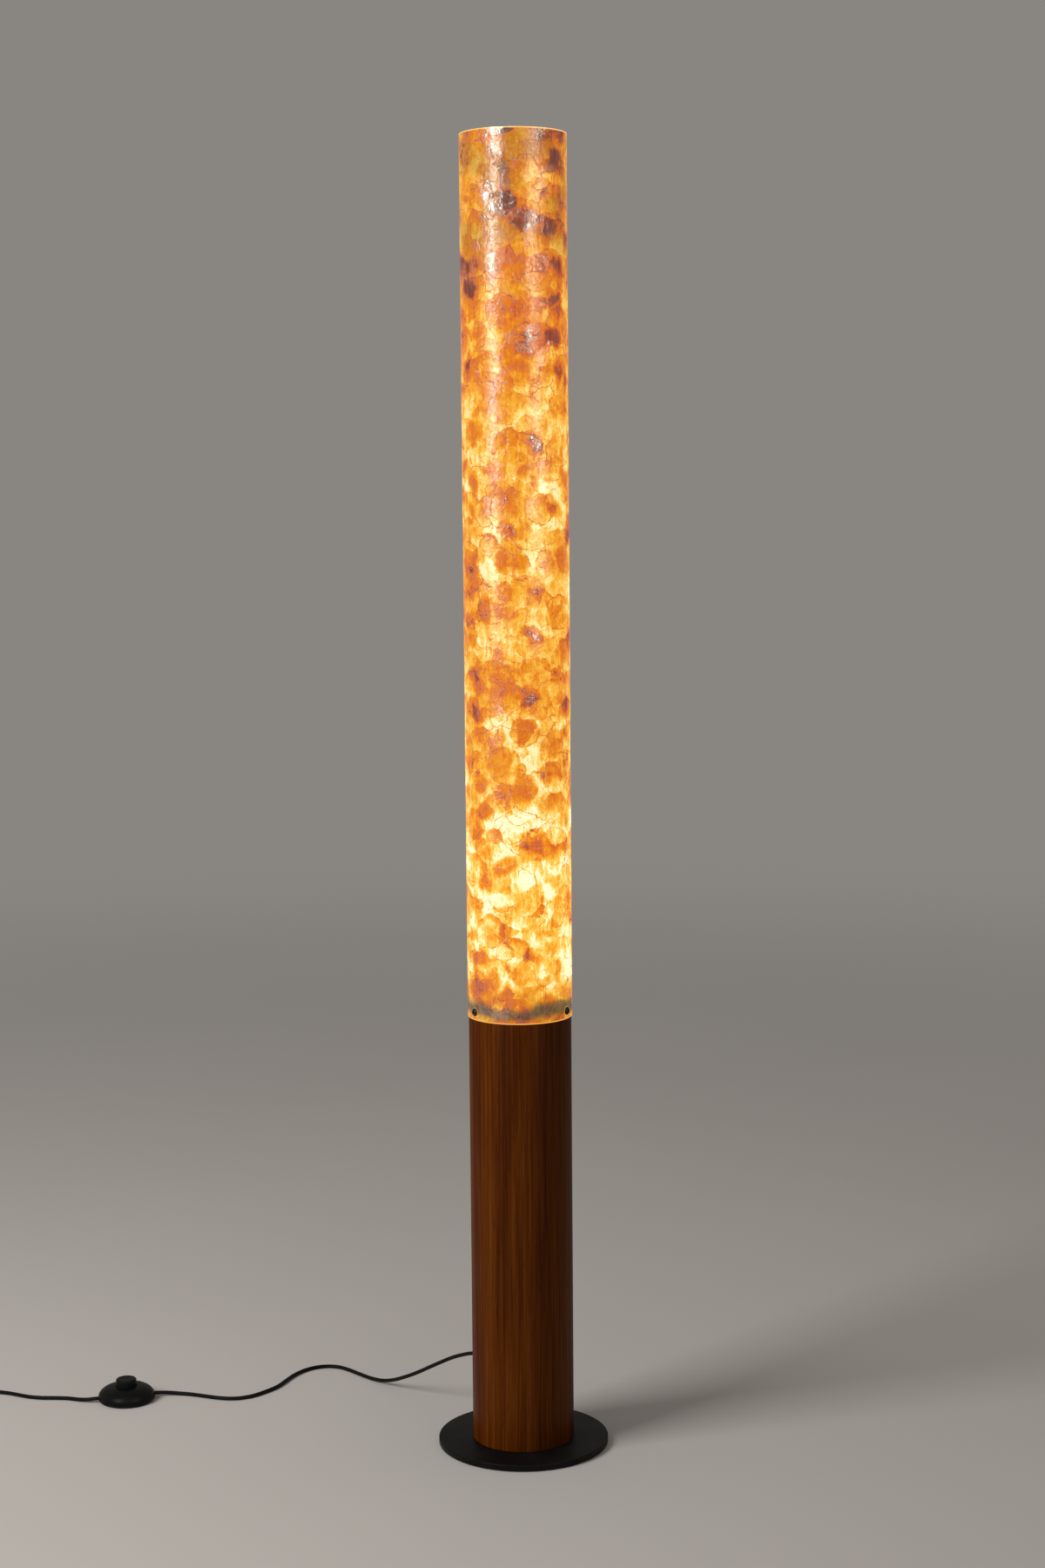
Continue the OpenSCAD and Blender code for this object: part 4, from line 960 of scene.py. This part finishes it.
# %% Plate the metals
def plated(name, colour, roughness, dull=0.12, metallic=1.0):
    material, tree, place = new_finish(name, Metallic=metallic)
    grain_of = use(moulded_grain, Place=place, Grain=1900.0, Patches=90.0, Dust_Amount=0.0)
    tone = blend(grain_of["Patch"], opaque(colour), opaque(colour, 0.78))
    lines = noise(stretched(place, (300, 300, 5200)), 1.0, 2)
    shine = calc("MULTIPLY_ADD", grain_of["Patch"], dull, roughness)
    shine = calc("MULTIPLY_ADD", lines, 0.08, shine)
    relief = plus(lines, times(grain_of["Height"], 0.6))
    join(tree, Base_Color=tone, Roughness=shine, height=(relief, 0.00002))
    return material


finishes.update({
    "zinc_steel": plated("zinc_plated_steel", (0.60, 0.61, 0.62), 0.30),
    "black_screw": plated("blackened_steel", (0.035, 0.034, 0.033), 0.30, 0.10, 0.7),
    "brass": plated("turned_brass", (0.74, 0.52, 0.20), 0.24),
    "nickel": plated("nickel_plated_brass", (0.66, 0.63, 0.57), 0.18),
    "spring_steel": plated("spring_steel", (0.50, 0.50, 0.51), 0.26),
})
print("finishes with the metals:", len(finishes))

# %% [markdown]
# ## The opal globe
# The bulb's globe is milky glass with a white powder inside, which spreads the light. So
# it glows almost evenly, a little yellower in some patches than in others.

# %% Light the globe
def opal_globe():
    material, tree, place = new_finish("opal_globe", Emission_Strength=2.0, IOR=1.5)
    grain_of = use(moulded_grain, Place=place, Grain=700.0, Patches=60.0, Dust_Amount=0.0)
    glow = blend(grain_of["Patch"], (1.0, 0.74, 0.42, 1), (1.0, 0.78, 0.48, 1))
    tone = blend(grain_of["Height"], (0.82, 0.80, 0.76, 1), (0.86, 0.84, 0.80, 1))
    shine = calc("MULTIPLY_ADD", grain_of["Patch"], 0.05, 0.12)
    join(tree, Base_Color=tone, Emission_Color=glow, Roughness=shine)
    return material


finishes["opal_globe"] = opal_globe()
print("finishes:", len(finishes))

# %% [markdown]
# ## Give every piece its finish
# Each CAD node and each new piece names a slot of the record. The slot's finish goes on
# the piece, also on the parts that only show when the lamp is taken apart.

# %% Put the finishes on
slot_of_node = {entry["node"]: entry["material_slot"] for entry in frame["record"]["subparts"]}
for node_name, piece in nodes.items():
    finish = finishes[slot_of_node[node_name]]
    for slot in piece.material_slots:
        slot.material = finish
for piece, slot_name in slot_of_piece.items():
    piece.data.materials.append(finishes[slot_name])
print("finished:", len(nodes), "nodes and", len(slot_of_piece), "new pieces")

# %% [markdown]
# ## Floor, air and lamps
# The lamp stands on a plain pale floor. The air round it gives an even soft light, and a
# wide soft box in front on the left gives the shadows their side. Two tall narrow ones, to
# the left and to the right, are what the silvery streaks on the polished resin reflect.

# %% Set the floor and the light
def floor_finish():
    material, tree, place = new_finish("plain_floor", Roughness=0.9, Specular_IOR_Level=0.2)
    cloud = noise(place, 1.2, 3)
    near = blend(cloud, (0.58, 0.56, 0.54, 1), (0.63, 0.61, 0.59, 1))
    away = vector_calc("LENGTH", place)
    join(tree, Base_Color=near, Alpha=soft_step(away, 1.6, 5.0, 1.0, 0.0))
    return material


floor_mesh = bpy.data.meshes.new("floor")
reach = 9.0
floor_mesh.from_pydata([(-reach, -reach, 0), (reach, -reach, 0), (reach, reach, 0),
                        (-reach, reach, 0)], [], [(0, 1, 2, 3)])
floor = new_object("floor", floor_mesh)
floor_mesh.materials.append(floor_finish())

world = bpy.data.worlds.new("studio_air")
world.use_nodes = True
air = world.node_tree.nodes["Background"].inputs
air["Color"].default_value, air["Strength"].default_value = (0.25, 0.236, 0.222, 1), 1.0
bpy.context.scene.world = world


def soft_box(name, turn, away, height, tip, width, tall, radiance, colour, mirrored):
    """A flat light at the given turn round the lamp's axis, away from it and above the
    floor, tipped down by tip degrees. Its power is radiance * area * pi watts. A mirrored
    one shows only as a reflection, any other gives only the general light."""
    data = bpy.data.lights.new(name, "AREA")
    data.shape, data.size, data.size_y = "RECTANGLE", width, tall
    data.energy = radiance * width * tall * math.pi
    data.color = colour
    light = new_object(name, data)
    light.matrix_world = (Matrix.Rotation(math.radians(turn), 4, "Z")
                          @ Matrix.Translation((0, -away, height))
                          @ Matrix.Rotation(math.radians(90 - tip), 4, "X"))
    light.visible_camera = False
    light.visible_diffuse = not mirrored
    light.visible_glossy = mirrored


soft_box("key", -58, 2.6, 1.9, 22, 1.3, 1.3, 12.5, (1.0, 0.97, 0.93), mirrored=False)
soft_box("left_strip", -46, 2.0, 1.75, 0, 0.30, 1.5, 27, (0.88, 1.0, 0.97), mirrored=True)
soft_box("right_strip", 45, 2.0, 1.75, 0, 0.26, 1.5, 16, (0.88, 1.0, 0.97), mirrored=True)
print("lights:", len(bpy.data.lights))
